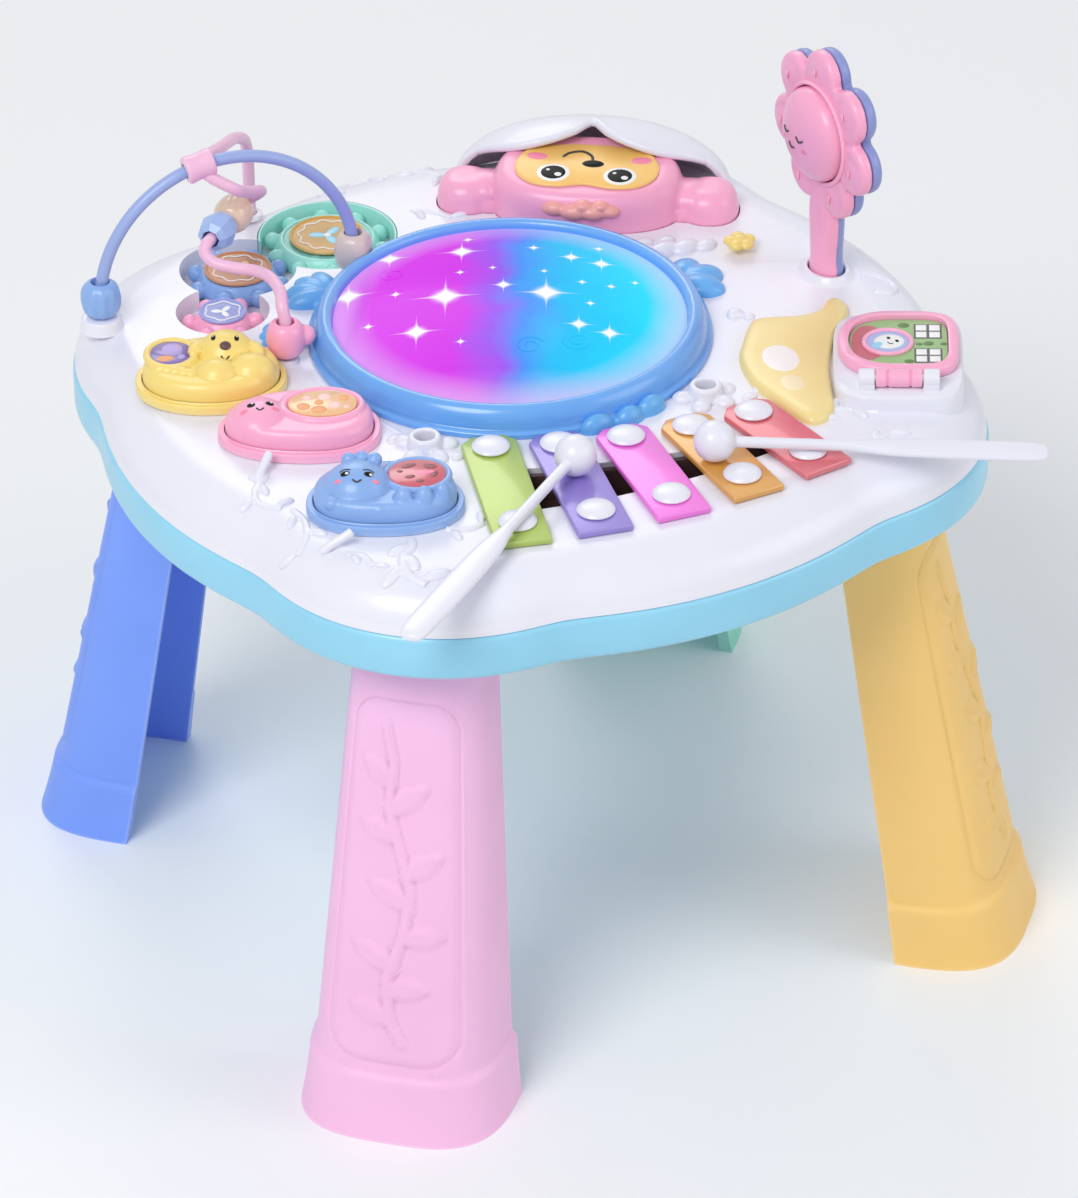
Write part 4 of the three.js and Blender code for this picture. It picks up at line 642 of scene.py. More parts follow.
def finish_piece(name, bm, finish, body="table", stands_for=None, slot=None, sharp=SHARP):
    """Gives a form its metres, finish and body, and hides the CAD node that it stands for."""
    bmesh.ops.scale(bm, vec=(MM, MM, MM), verts=bm.verts)
    made = as_object(bm, name)
    for paint in finish if isinstance(finish, list) else [finish]:
        made.data.materials.append(paint)
    made.data.shade_smooth()
    made.data.set_sharp_from_angle(angle=sharp)
    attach(made, body)
    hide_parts(stands_for)
    print(name, "faces:", len(made.data.polygons))


# %% [markdown]
# ## The table top and its band
# The top is one moulded shell: flat in the middle, rounded over a wide shoulder, with a
# lobe over each leg. The plan is a circle that swells into four lobes with a soft crease
# between them. The shell is lofted over the shoulder and the pockets are cut from it.

# %% Plan of the rim
UNDERSIDE, BAND_TOP, PLATEAU = 221, 241, 262
TABLE_RADIUS, LOBE_CENTRE, LOBE_RADIUS, CREASE = 185, 120, 83.5, 5
SHOULDER, GAP = 26, 0.3
SHELL_INSET, SHELL_WALL = 1, 2.6
DOME_BASE = BAND_TOP + GAP


def rim_reach(angle):
    turn = angle % (pi / 2) - pi / 4
    across = LOBE_CENTRE * sin(turn)
    lobe = LOBE_CENTRE * cos(turn) + sqrt(max(0, LOBE_RADIUS ** 2 - across ** 2))
    apart = lobe - TABLE_RADIUS
    return (lobe + TABLE_RADIUS + sqrt(apart ** 2 + CREASE ** 2)) / 2


def rim(inset):
    def point(turn):
        reach = rim_reach(2 * pi * turn) - inset
        return reach * cos(2 * pi * turn), reach * sin(2 * pi * turn)
    return point


def surface_height(x, y):
    """Height of the shell's skin over a place in the plan."""
    inset = rim_reach(atan2(y, x)) - hypot(x, y) - SHELL_INSET
    if inset >= SHOULDER:
        return PLATEAU
    lean = 1 - max(0, inset) / SHOULDER
    return DOME_BASE + (PLATEAU - DOME_BASE) * sqrt(max(0, 1 - lean ** 2))


def shell_form(inset, drop, steps=12):
    levels = []
    for k in range(steps + 1):
        angle = pi / 2 * k / steps
        rise = (PLATEAU - DOME_BASE - drop) * sin(angle)
        levels.append((rim(inset + SHOULDER * (1 - cos(angle))), DOME_BASE + rise))
    return levels


# %% Places on the top
DRUM_Y, PAD_RADIUS, DRUM_HOLE = 14, 77, 80.8
GEAR_MODULE, POCKET_DEPTH, POCKET_PLAY, POCKET_WALL = 5.4, 10, 1.7, 2.4
GEARS = {
    "mint_gear": (10, -27.87, 132.76), "blue_gear": (8, -76, 126), "pink_gear": (6, -98.75, 95.81),
}
HEAD = {"x": 86, "y": 98, "turn": -35.6}
HEAD_HALF_X, HEAD_HALF_Y, EAR_REACH, NECK_REACH = 43, 26, 55, 44
BANANA = {"x": 94.2, "y": -66.2, "turn": 54}
DOOR = {"x": 116.5, "y": -118.5, "turn": -31}
RATTLE = {"x": 147, "y": -8}
ARCH_START, ARCH_END = (-150, 111), (-33, 97.2)
WIRE_REAR, WIRE_FRONT = (-50, 165), (-94, 43.8)
HOLDERS, HOLDER_BORE = [(-77, -51), (47, -74)], 4.2
BUTTON = {"x": 124, "y": 28}
KEY_TURN = -28
# Each row of pegs is on an arc: its middle, its radius, the first peg's bearing and the step.
NEAR_ARC, FAR_ARC = (19, 165.2, 306.6, -107.65, 6.3), (72.5, 175.9, 276.1, -117.5, 6)
PEG_CLEARANCE = 13


def on_arc(share, x, y, radius, first, step):
    angle = radians(first + step * share)
    return x + radius * cos(angle), y + radius * sin(angle)


def near_peg(share):
    return on_arc(share, *NEAR_ARC)


def far_peg(share):
    return on_arc(share, *FAR_ARC)


def bar_slot(growth):
    near, far = [], []
    for k in range(9):
        share = -0.3 + 4.6 * k / 8
        (fx, fy), (nx, ny) = far_peg(share), near_peg(share)
        length = hypot(nx - fx, ny - fy)
        step = (PEG_CLEARANCE - growth) / length
        far.append((fx + (nx - fx) * step, fy + (ny - fy) * step))
        near.append((nx - (nx - fx) * step, ny - (ny - fy) * step))
    return near + far[::-1]


BANANA_SHARES = [
    (1, -0.4), (0.88, -0.54), (0.68, -0.55), (0.42, -0.46), (0.15, -0.44), (-0.16, -0.46),
    (-0.46, -0.52), (-0.74, -0.58), (-0.9, -0.54), (-1, -0.4), (-0.95, -0.24), (-0.72, 0.06),
    (-0.45, 0.38), (-0.08, 0.58), (0.2, 0.58), (0.48, 0.54), (0.6, 0.43), (0.67, 0), (0.76, -0.21),
    (0.86, -0.3), (0.96, -0.32),
]
banana_outline = closed_line([(53 * x, 38 * y) for x, y in BANANA_SHARES], 6)

# %% Top shell
def shell_piece():
    outer = loft(shell_form(SHELL_INSET, 0), 256)
    inset = SHELL_INSET + SHELL_WALL
    hollow = loft([(rim(inset), BAND_TOP - 2)] + shell_form(inset, SHELL_WALL, 6), 128)
    walls, spaces = [], [placed(rod(DRUM_HOLE, 240, 264, 96), 0, DRUM_Y)]
    floor = PLATEAU - POCKET_DEPTH
    for teeth, x, y in GEARS.values():
        reach = (teeth + 1) * GEAR_MODULE / 2 + POCKET_PLAY
        wall = prism(oval(reach + POCKET_WALL, reach + POCKET_WALL), floor - POCKET_WALL, 264, 64)
        walls.append(placed(wall, x, y))
        spaces.append(placed(prism(oval(reach, reach), floor, 265, 64), x, y))
    ear, neck = oval(13.5, 15, 2.3), oval(9.5, 12.6, 2.2)
    for x, shape in ((0, oval(43.5, 26.5, 2.5)), (-EAR_REACH, ear), (EAR_REACH, ear),
                     (-NECK_REACH, neck), (NECK_REACH, neck)):
        wall = prism(shrunk(shape, 1.08), 252.6, 264, 64)
        walls.append(placed(placed(wall, x), **HEAD))
        spaces.append(placed(placed(prism(shape, 255, 265, 64), x), **HEAD))
    spaces += [
        placed(prism(banana_outline, 260.8, 265, 96), **BANANA), slab(bar_slot(0), 240, 265),
        placed(prism(oval(7.5, 10, 2.6), 239.7, 266), **RATTLE),
        *(placed(rod(HOLDER_BORE, 240, 266), x, y) for x, y in HOLDERS),
    ]
    return carved(outer, [carved(hollow, walls)] + spaces, soft_edge=0.45)


finish_piece("table_shell", shell_piece(), WHITE, stands_for="top_shell", slot="white plastic")

# %% [markdown]
# ## The blue band
# Below the shell is a tray whose wall is the blue band all round. It is a plain loft with
# a rolled lower edge and a fine step at the top where the shell sits, and its floor is cut
# for the battery door, the switch and the speaker.

# %% Bottom tray
BAND_PROFILE = [  # how far in from the rim, and the height
    (3.5, 221), (1.5, 221.3), (0.4, 222.3), (0, 224), (0, 238.5), (0.25, 239.8), (0.9, 240.6),
    (1.6, 241),
]
SPEAKER_RINGS = [(4, 6), (9.5, 12), (15, 18)]


def tray_piece():
    outer = loft([(rim(inset), height) for inset, height in BAND_PROFILE], 256)
    battery_mouth = box(-26.6, 35.5, -23.8, 23.8, 219, 226)
    switch_mouth = placed(box(-5.3, 9.3, -3.3, 3.3, 219, 226), 52)
    cuts = [prism(rim(3.8), 223.6, 243, 128), battery_mouth, switch_mouth]
    for radius, count in SPEAKER_RINGS:
        cuts += [placed(rod(1.1, 219, 226, 10), x, y) for x, y in circle(radius, count, -120, -30)]
    return carved(outer, cuts)


finish_piece("band_tray", tray_piece(), SKY, stands_for="bottom_tray", slot="sky blue plastic")

# %% [markdown]
# ## Legs
# Each leg is an open channel that grows towards the floor, with a stepped ring at its foot
# and a panel moulded into its front: a fine frame and a leafy stem in low relief. The
# section is a closed ring, out along the skin and back along the inside, lofted in many
# thin levels, so that the relief can be pushed out of the skin itself.

# %% Leg
LEG_SKIN, LEG_LEVELS, LEG_TOP = 110, 150, 220.7
FOOT, TOP = (43, 47, 179.4), (28.6, 34, 144.2)  # half width, depth and distance out
LEG_FULLNESS, LEG_WALL = 3.2, 2.8
FRAME_HALF, FRAME_MIDDLE, FRAME_REACH, FRAME_ROUND = 0.72, 115, 81, 13
LEAF_STEM = [
    (9, 186), (4, 168), (6, 150), (0, 132), (-6, 112), (-3, 92), (3, 72), (1, 54), (-4, 44),
]
LEAVES = [
    (5, 160, 19, 170), (5, 148, -12, 160), (2, 136, 18, 142), (-3, 120, -19, 130),
    (-6, 106, 12, 116), (-4, 92, -20, 94), (0, 78, 18, 88), (3, 68, -14, 70), (1, 54, 17, 60),
]


def stroke_distance(x, z, ax, az, bx, bz):
    length = (bx - ax) ** 2 + (bz - az) ** 2
    t = max(0, min(1, ((x - ax) * (bx - ax) + (z - az) * (bz - az)) / length))
    return hypot(x - ax - t * (bx - ax), z - az - t * (bz - az)), t


def leg_relief(x, z, half):
    """How far the skin stands proud at a place on the front of the leg."""
    scale = half / 36
    frame_x = max(0, abs(x) - half * FRAME_HALF + FRAME_ROUND * scale)
    frame_z = max(0, abs(z - FRAME_MIDDLE) - FRAME_REACH + FRAME_ROUND)
    edge = hypot(frame_x / scale, frame_z) - FRAME_ROUND
    if edge > 3 or z < 30:
        return 0.0
    proud = 0.4 * (edge < 0)
    if abs(edge) < 2.6:
        proud = 0.4 - 1.1 * max(0, 1 - (edge / 1.9) ** 2)
    if abs(x) < half * 0.62:
        rise = 0
        for (ax, az), (bx, bz) in zip(LEAF_STEM, LEAF_STEM[1:]):
            away, _ = stroke_distance(x / scale, z, ax, az, bx, bz)
            rise = max(rise, 1 - (away / 2.1) ** 2)
        for ax, az, bx, bz in LEAVES:
            away, t = stroke_distance(x / scale, z, ax, az, bx, bz)
            width = 0.8 + 4.6 * sin(pi * min(1, 0.1 + 0.86 * t))
            rise = max(rise, (1 - (away / width) ** 2) * (0.6 if away < 0.7 and t < 0.9 else 1))
        proud += 1.5 * max(0, rise) ** 0.7
    return proud


def leg_arc(half, depth, count, inset=0.0):
    """Evenly spaced points of the half oval that is a leg's section, from side to side."""
    dense = []
    for k in range(241):
        turn = pi * k / 240
        c, s = cos(turn), sin(turn)
        scale = (abs(c) ** LEG_FULLNESS + abs(s) ** LEG_FULLNESS) ** (-1 / LEG_FULLNESS)
        dense.append(((half - inset) * c * scale, (depth - inset) * s * scale))
    walked = [0.0]
    for a, b in zip(dense, dense[1:]):
        walked.append(walked[-1] + hypot(b[0] - a[0], b[1] - a[1]))
    points, j = [], 0
    for k in range(count):
        goal = walked[-1] * k / (count - 1)
        while j < 239 and walked[j + 1] < goal:
            j += 1
        t = (goal - walked[j]) / (walked[j + 1] - walked[j])
        points.append((dense[j][0] + (dense[j + 1][0] - dense[j][0]) * t,
                       dense[j][1] + (dense[j + 1][1] - dense[j][1]) * t))
    return points


def foot_step(z):
    """How far the ring at the foot stands out: it flares to the floor and has a soft lip."""
    if z > 30:
        return 0.0
    flare = 2.2 + 1.4 * (1 - z / 28) ** 2 if z < 28 else 2.2
    return flare * (1 if z < 26.5 else max(0, (30 - z) / 3.5))


def leg_form():
    count = 2 * LEG_SKIN
    levels = []
    for k in range(LEG_LEVELS + 1):
        z = LEG_TOP * k / LEG_LEVELS
        share = z / UNDERSIDE
        half, depth, out = (low + (high - low) * share for low, high in zip(FOOT, TOP))
        step = foot_step(z)
        skin = leg_arc(half + step, depth + step, LEG_SKIN)
        inside = leg_arc(half, depth, LEG_SKIN, LEG_WALL)[::-1]
        ring = []
        for x, y in skin:
            relief = leg_relief(x, z, half) if y > 0.8 * depth else 0
            ring.append((x, out + y + relief))
        ring += [(x, out + y) for x, y in inside]
        levels.append((lambda turn, ring=ring: ring[int(round(turn * count)) % count], z))
    return loft(levels, count, channel=LEG_SKIN)


LEGS = [
    ("leg_yellow", LEG_YELLOW, "sand yellow plastic"), ("leg_mint", LEG_MINT, "mint plastic"),
    ("leg_blue", LEG_BLUE, "leg blue plastic"), ("leg_pink", LEG_PINK, "pale pink plastic"),
]
model = as_object(leg_form(), "leg_model")
for i, (name, finish, slot) in enumerate(LEGS):
    channel = bmesh.new()
    channel.from_mesh(model.data)
    plate = slab([(-27, 146), (27, 146), (23, 174), (-23, 174)], 217.7, 220.6, 0.5)
    leg = placed(together([channel, plate]), turn=90 * i - 135)
    finish_piece(name + "_channel", leg, finish, stands_for=name, slot=slot, sharp=radians(50))
dropped(model)

# %% [markdown]
# ## Marks on curved skins
# Eyes, cheeks, smiles and moulded leaves all lie on a skin that bends. Each is a flat
# dome or a fine tube set on the skin, so every helper below takes the skin as a function
# that gives its height.

# %% Spots and strokes
def painted(form, index):
    """Marks the faces of a form with a material's number."""
    for face in form.faces:
        face.material_index = index
    return form


def flat_at(height):
    return lambda x, y: height


def dome(x, y, half_x, half_y, base, rise):
    """The height of a rounded lump over a place, never below its foot."""
    def height(px, py):
        out = ((px - x) / half_x) ** 2 + ((py - y) / half_y) ** 2
        return base + rise * sqrt(max(0, 1 - out))
    return height


def leaned(form, axis, place, turn=0.0):
    """Turns a form on Z, leans its Z to the given axis and moves it to its place."""
    lean = UPWARD.rotation_difference(Vector(axis)).to_matrix().to_4x4()
    matrix = Matrix.Translation(place) @ lean @ Matrix.Rotation(radians(turn), 4, "Z")
    bmesh.ops.transform(form, matrix=matrix, verts=form.verts)
    return form


def spot(surface, x, y, half_x, half_y, rise, turn=0.0, steps=20):
    step = 0.3
    lean_x = (surface(x + step, y) - surface(x - step, y)) / (2 * step)
    lean_y = (surface(x, y + step) - surface(x, y - step)) / (2 * step)
    form = ball((half_x, half_y, rise), steps=steps)
    return leaned(form, (-lean_x, -lean_y, 1), (x, y, surface(x, y)), turn)


def stroke(surface, points, radius, steps=20, lift=0.0):
    line = smooth_line(points, steps)
    return tube([(x, y, surface(x, y) + lift) for x, y in line], radius, sides=8)


def marks(surface, spots=(), strokes=()):
    """Spots and strokes on a skin, each with the number of its paint in front."""
    forms = [painted(spot(surface, *values), index) for index, *values in spots]
    return forms + [painted(stroke(surface, *values), index) for index, *values in strokes]


# %% [markdown]
# ## The drum
# A ring snaps over the hole and the lit pad rides inside it. The ring is turned, the fins
# and feet of the fish that it makes are lumps melted together, and the pad is a shallow dome
# whose colours and sparkles are lights shining through its printed skin.

# %% Drum ring and fins
FIN_ROOT = 83.6
FINS = [  # bearing, reach, half width, rise, lobes and the angle that they spread over
    (128, 23, 21, 6.5, 4, 80), (151, 26, 12, 5.8, 3, 30), (0, 23, 22, 6.5, 3, 84),
    (-94, 9, 7.5, 7.5, 1, 0), (-84, 10, 6.5, 7, 1, 0), (-76, 9.4, 7, 7.5, 1, 0),
]


def drum_ring_piece():
    profile = [
        (77.5, 253), (77.5, 272.4), (77.9, 273.8), (79, 274.8), (80.4, 275), (82, 274.5),
        (83.6, 273), (84.9, 270.6), (85.5, 268), (85.7, 266), (86.3, 265.2), (87.3, 264.9),
        (88, 264.2), (88, 262.3), (80.3, 262.3), (80.3, 253), (77.5, 253),
    ]
    ring = placed(spun(profile, 160), 0, DRUM_Y)
    return carved(ring, [placed(rod(9.5, 250, 280, 48), *ARCH_END)], soft_edge=0.5)


def fin(bearing, reach, half_width, rise, lobes, spread_angle):
    """A fan of long lumps that spread from the ring, with grooves between them."""
    forms = [ball((reach * 0.55, half_width * 0.62, rise * 0.8))]
    for k in range(lobes):
        lean = spread_angle * (k / (lobes - 1) - 0.5) if lobes > 1 else 0
        out = reach * (0.5 - 0.1 * abs(lean) / 90)
        form = placed(ball((reach * 0.5, half_width * 1.1 / lobes, rise)), out)
        forms.append(placed(form, turn=lean))
    return [placed(placed(form, FIN_ROOT, 0, 262), 0, DRUM_Y, turn=bearing) for form in forms]


def fins_piece():
    fins = melted([form for values in FINS for form in fin(*values)], 0.9, 3)
    return carved(fins, [placed(rod(84.5, 250, 280, 120), 0, DRUM_Y)])


finish_piece("drum_rim", drum_ring_piece(), DRUM_BLUE, stands_for="drum_ring",
             slot="drum blue plastic")
finish_piece("drum_fins", fins_piece(), FIN_BLUE, stands_for="drum_ring")


# %% Lit skin of the drum
PRINT_TURN = radians(29)
SPARKS = [  # across, up and size in millimetres, in the turned print
    (-54, 48, 26), (-23, 68, 20), (5, 53, 22), (-22, 18, 30), (4, 13, 14), (17, -2, 28),
    (-46, 0, 22), (44, 24, 14), (53, 13, 16), (17, -31, 15), (26, -42, 16), (34, 40, 9),
    (46, -8, 7), (-6, 34, 7), (8, 30, 6), (-38, 34, 8), (26, 16, 6), (60, 28, 8), (36, 0, 7),
    (-34, -18, 7), (30, -18, 7), (58, -8, 6), (14, 64, 8), (-60, 18, 8),
]
SPARK_SHARE = 0.88
RAY_PINCH, RAY_EDGE, RAY_LIGHT = 0.36, 1.3, 4.5
HALO_SPREAD, HALO_EDGE, HALO_LIGHT = 9, 3, 0.8
GLOW_STOPS = [
    (0.0, (0.86, 0.36, 0.95)), (0.13, (0.86, 0.12, 0.93)), (0.36, (0.84, 0.02, 0.92)),
    (0.46, (0.6, 0.3, 0.95)), (0.53, (0.24, 0.56, 0.98)), (0.63, (0, 0.76, 0.98)),
    (0.88, (0.02, 0.88, 1.0)), (1.0, (0.45, 0.92, 1.0)),
]


def make_spark():
    """Four thin rays and a halo at one place, as a node group."""
    group, given, out = new_group("spark", {
        "Across": (NUMBER, 0), "Up": (NUMBER, 0), "X": (NUMBER, 0), "Y": (NUMBER, 0),
        "Size": (NUMBER, 1),
    }, {"Light": NUMBER})

    def step(operation, *values):
        return maths(group, operation, *values)

    away = []
    for axis, centre in (("Across", "X"), ("Up", "Y")):
        distance = step("ABSOLUTE", step("SUBTRACT", given[axis], given[centre]))
        away.append(step("DIVIDE", distance, given["Size"]))
    roots = step("ADD", *(step("POWER", value, RAY_PINCH) for value in away))
    ray = step("POWER", step("MAXIMUM", step("SUBTRACT", 1, roots), 0), RAY_EDGE)
    squares = step("ADD", *(step("MULTIPLY", value, value) for value in away))
    halo = step("MAXIMUM", step("SUBTRACT", 1, step("MULTIPLY", squares, HALO_SPREAD)), 0)
    halo = step("MULTIPLY", step("POWER", halo, HALO_EDGE), HALO_LIGHT)
    feed(group, out, {"Light": step("ADD", step("MULTIPLY", ray, RAY_LIGHT), halo)})
    return group


def lit_skin():
    finish, tree, shader = bare_material("lit_drum_skin")
    turned = node(tree, "Mapping", {
        "Vector": object_place(tree), "Location": (0, DRUM_Y * MM, 0),
        "Rotation": (0, 0, -PRINT_TURN), "Scale": (MM, MM, MM),
    }, vector_type="TEXTURE").outputs[0]
    parts = node(tree, "SeparateXYZ", {0: turned}).outputs
    across, up = parts["X"], parts["Y"]
    cloud = node(tree, "TexNoise", {"Vector": turned, "Scale": 0.025, "Detail": 2}).outputs["Fac"]
    wavy = spread(tree, maths(tree, "MULTIPLY_ADD", cloud, 34, across), -62, 96)
    ramp = node(tree, "ValToRGB", {"Fac": wavy})
    for k, (share, rgb) in enumerate(GLOW_STOPS):
        stops = ramp.color_ramp.elements
        stop = stops[k] if k < 2 else stops.new(share)
        stop.position = share
        stop.color = linear(*rgb)
    flat = node(tree, "CombineXYZ", {0: across, 1: up}).outputs[0]
    reach = node(tree, "VectorMath", {0: flat}, operation="LENGTH").outputs["Value"]
    colour = mix_colour(tree, spread(tree, reach, 60, 79, 0, 0.6), ramp.outputs["Color"],
                        linear(0.88, 0.78, 0.98))
    colour = mix_colour(tree, spread(tree, up, -52, -82, 0, 0.45), colour,
                        linear(0.97, 0.74, 0.96))
    spark, total = make_spark(), None
    c, s = cos(PRINT_TURN), sin(PRINT_TURN)
    for x, y, size in SPARKS:
        light = node(tree, "Group", {
            "Across": across, "Up": up, "X": x * c - y * s, "Y": x * s + y * c,
            "Size": size * SPARK_SHARE,
        }, node_tree=spark).outputs[0]
        total = light if total is None else maths(tree, "ADD", total, light, use_clamp=True)
    starry = mix_colour(tree, total, colour, (1, 1, 1, 1))
    feed(tree, shader, {
        "Base Color": mix_colour(tree, 0.68, starry, (0.02, 0.02, 0.03, 1)),
        "Emission Color": starry, "Emission Strength": 0.66, "Specular IOR Level": 0.06,
        "Roughness": 0.22, "Coat Weight": 0.04,
    })
    return finish


LIT_SKIN = lit_skin()


# %% Drum pad
def pad_height(x, y):
    return 272 + 8 * (1 - (hypot(x, y) / PAD_RADIUS) ** 2)


def pad_piece():
    top = [(r, pad_height(r, 0)) for r in (0, 8, 16, 24, 32, 40, 48, 56, 63, 69, 73, 75.3)]
    wall = [(76.3, 271.9), (76.85, 271.2), (77, 270.2), (77, 261), (74.6, 261), (74.6, 269.6)]
    under = [(r, pad_height(r, 0) - 2.4) for r in (72, 56, 36, 16, 0)]
    forms = [spun(top + wall + under, 128)]
    curl = [(1 + 5.5 * (1 - k / 22), 2.5 * pi * k / 16) for k in range(20)]
    for x, y, turn in ((-10, -36, 0), (10, -42, radians(150)), (-30, 52, radians(60))):
        points = [(x + r * cos(a + turn), y + r * sin(a + turn)) for r, a in curl]
        forms.append(stroke(pad_height, points, 0.45, 50, lift=-0.15))
    return placed(together(forms), 0, DRUM_Y)


finish_piece("drum_skin", pad_piece(), LIT_SKIN, "drum_pad", "drum_pad", "printed drum skin")

# %% [markdown]
# ## Chime bars, pegs and mallets
# The bars are stamped steel plates with clipped ends, painted in five colours, and hang on
# white pegs over a brown sound box. The beaters are one moulding each: a ball, a thin
# shaft and a flat paddle to hold.

# %% Bars and their pegs
BAR_LOW, BAR_TOP = 262.3, 265.3
PEG_PROFILE = [
    (0, 268.6), (3.4, 268.5), (6, 268), (7.6, 267.1), (8.15, 266.3), (8.1, 265.8), (7.7, 265.6),
    (2.2, 265.6), (2.2, 257), (0, 257),
]


def bar_piece(i):
    (fx, fy), (nx, ny) = far_peg(i), near_peg(i)
    span = hypot(nx - fx, ny - fy)
    half, shift = (span + 25) / 2, 2.5 + span / 2
    corners = [(-half, -7), (5 - half, -12), (half, -12), (half, 12), (5 - half, 12), (-half, 7)]
    plate = slab([(x + shift, y) for x, y in corners], BAR_LOW, BAR_TOP, 0.8)
    return placed(plate, fx, fy, turn=degrees(atan2(ny - fy, nx - fx)))


def rail_piece(peg):
    """Five pegs on a curved strip that joins them under the bars."""
    middle = [peg(-0.25)] + [peg(k / 2 - 0.15) for k in range(1, 9)] + [peg(4.25)]
    left, right = [], []
    for k, (x, y) in enumerate(middle):
        (ax, ay), (bx, by) = middle[max(0, k - 1)], middle[min(len(middle) - 1, k + 1)]
        length = hypot(bx - ax, by - ay)
        out_x, out_y = -4 * (by - ay) / length, 4 * (bx - ax) / length
        left.append((x + out_x, y + out_y))
        right.append((x - out_x, y - out_y))
    pegs = [placed(spun(PEG_PROFILE, 40), *peg(i)) for i in range(5)]
    return together(pegs + [slab(left + right[::-1], 255.5, 258.8, 0.4)])


def resonator_piece():
    tray = carved(slab(bar_slot(-0.3), 245.1, 259.1), [slab(bar_slot(-2), 247, 262)])
    flange = carved(slab(bar_slot(2.6), 257.2, 259.1), [slab(bar_slot(-0.5), 250, 262)])
    return together([tray, flange])


for i, (name, rgb) in enumerate(BAR_COLOURS.items()):
    slot = name.replace("_", " ") + " paint"
    finish_piece(name + "_plate", bar_piece(i), painted_metal(name + "_paint", rgb),
                 stands_for=f"chime_bar_{i + 1}", slot=slot)
finish_piece("near_pegs", rail_piece(near_peg), WHITE, stands_for="near_peg_rail")
finish_piece("far_pegs", rail_piece(far_peg), WHITE, stands_for="far_peg_rail")
finish_piece("sound_box", resonator_piece(), BROWN, stands_for="resonator_tray",
             slot="brown recess plastic")


# %% Mallets
MALLET_SECTIONS = [  # distance from the ball's middle, half width, half thickness
    (0, 2.3, 2.3), (40, 2.3, 2.3), (56, 2.4, 2.3), (62, 3.2, 2.3), (70, 4.9, 2.35),
    (80, 5.9, 2.4), (95, 6.4, 2.4), (115, 6.6, 2.4), (130, 6.5, 2.4), (137, 5.9, 2.3),
    (140.3, 4.6, 2), (141.8, 2.4, 1.2),
]
MALLETS = {  # the ball's middle, and a point that the handle heads for
    "left": ((-34.4, -105.7, 274.6), (-155, -181, 264.1)),
    "right": ((21.7, -125, 274.6), (135, -181.5, 264.6)),
}


def mallet_piece(ball_place, toward):
    fine = smooth_line(MALLET_SECTIONS, 66)
    shaft = loft([(oval(wide, thick, 2.5), z) for z, wide, thick in fine], 32)
    head = spun([(9 * sin(pi * k / 24), -9 * cos(pi * k / 24)) for k in range(25)], 48)
    form = melted([shaft, head], 0.55, 2, 0.5)
    along = (Vector(toward) - Vector(ball_place)).normalized()
    across = Vector((-along.y, along.x, 0)).normalized()
    turn = Matrix((across, along.cross(across), along)).transposed().to_4x4()
    matrix = Matrix.Translation(ball_place) @ turn
    bmesh.ops.transform(form, matrix=matrix, verts=form.verts)
    return form


for side, ends in MALLETS.items():
    finish_piece(f"beater_{side}", mallet_piece(*ends), WHITE, f"mallet_{side}", f"mallet_{side}")

# %% [markdown]
# ## The gear train
# Three loose gears turn each other, with round knobs for teeth on a body that swells to the
# middle. The blue one meshes with both others, so the phases are worked out from the
# lines between their middles, as in the solids.

# %% Gears
GEAR_LOOKS = {  # the wheel's plastic, the badge's radius, its colour and its small marks
    "mint_gear": (MINT, 17, (0.86, 0.66, 0.3), SKY),
    "blue_gear": (GEAR_BLUE, 15, (0.8, 0.52, 0.33), FACE_YELLOW),
    "pink_gear": (PINK, 10.4, (0.6, 0.64, 0.9), PRINT_WHITE),
}


def gear_phase(name):
    """The turn at which the teeth fall into the gaps of the blue gear, which is at zero."""
    if name == "blue_gear":
        return 0.0
    (blue_teeth, blue_x, blue_y), (teeth, x, y) = GEARS["blue_gear"], GEARS[name]
    bearing = atan2(y - blue_y, x - blue_x)
    return bearing + pi + bearing * blue_teeth / teeth + pi / teeth


def gear_piece(name):
    """A low hub with one round knob for each tooth, and a bowl for the badge."""
    teeth, x, y = GEARS[name]
    radius = teeth * GEAR_MODULE / 2
    hub = [(0, 252.3), *((radius - inwards, z) for inwards, z in (
        (3.6, 252.3), (3, 253), (3, 255.2), (3.6, 257), (4.6, 258.8), (5.4, 260), (6, 260.7),
    )), (0, 260.7)]
    bowl = [(0, 260.1), (radius - 7.6, 260.1), (radius - 6.7, 261), (radius - 6.7, 263), (0, 263)]
    knobs = [ball((3.8, 3.8, 4), (kx, ky, 256.4), 24)
             for kx, ky in circle(radius - 1.9, teeth, start=gear_phase(name))]
    return placed(carved(melted([spun(hub), *knobs], 0.55, 2), [spun(bowl, 64)]), x, y)


def badge_piece(name):
    """A shallow printed disc with a raised rim, a wavy ring, three drops and a dot."""
    teeth, x, y = GEARS[name]
    radius = GEAR_LOOKS[name][1]
    plate = spun([(0, 261.2), (radius, 261.2), (radius, 262), (radius - 0.4, 262.4),
                  (radius - 1.1, 262.3), (radius - 1.7, 261.8), (0, 261.8)], 64)
    ring = []
    for turn in (2 * pi * k / 90 for k in range(90)):
        reach = radius * (0.74 + 0.05 * cos(teeth * turn))
        ring.append((reach * cos(turn), reach * sin(turn), 261.9))
    drops = [(2, radius * 0.26 * cos(a), radius * 0.26 * sin(a), radius * 0.24, radius * 0.13,
              0.35, degrees(a)) for a in (2 * pi * k / 3 + 0.5 for k in range(3))]
    dot = (1, 0, 0, radius * 0.1, radius * 0.1, 0.5)
    wave = painted(tube(ring, 0.4, 8, cyclic=True), 1)
    forms = [painted(plate, 0), wave, *marks(flat_at(261.8), [*drops, dot])]
    return placed(together(forms), x, y)


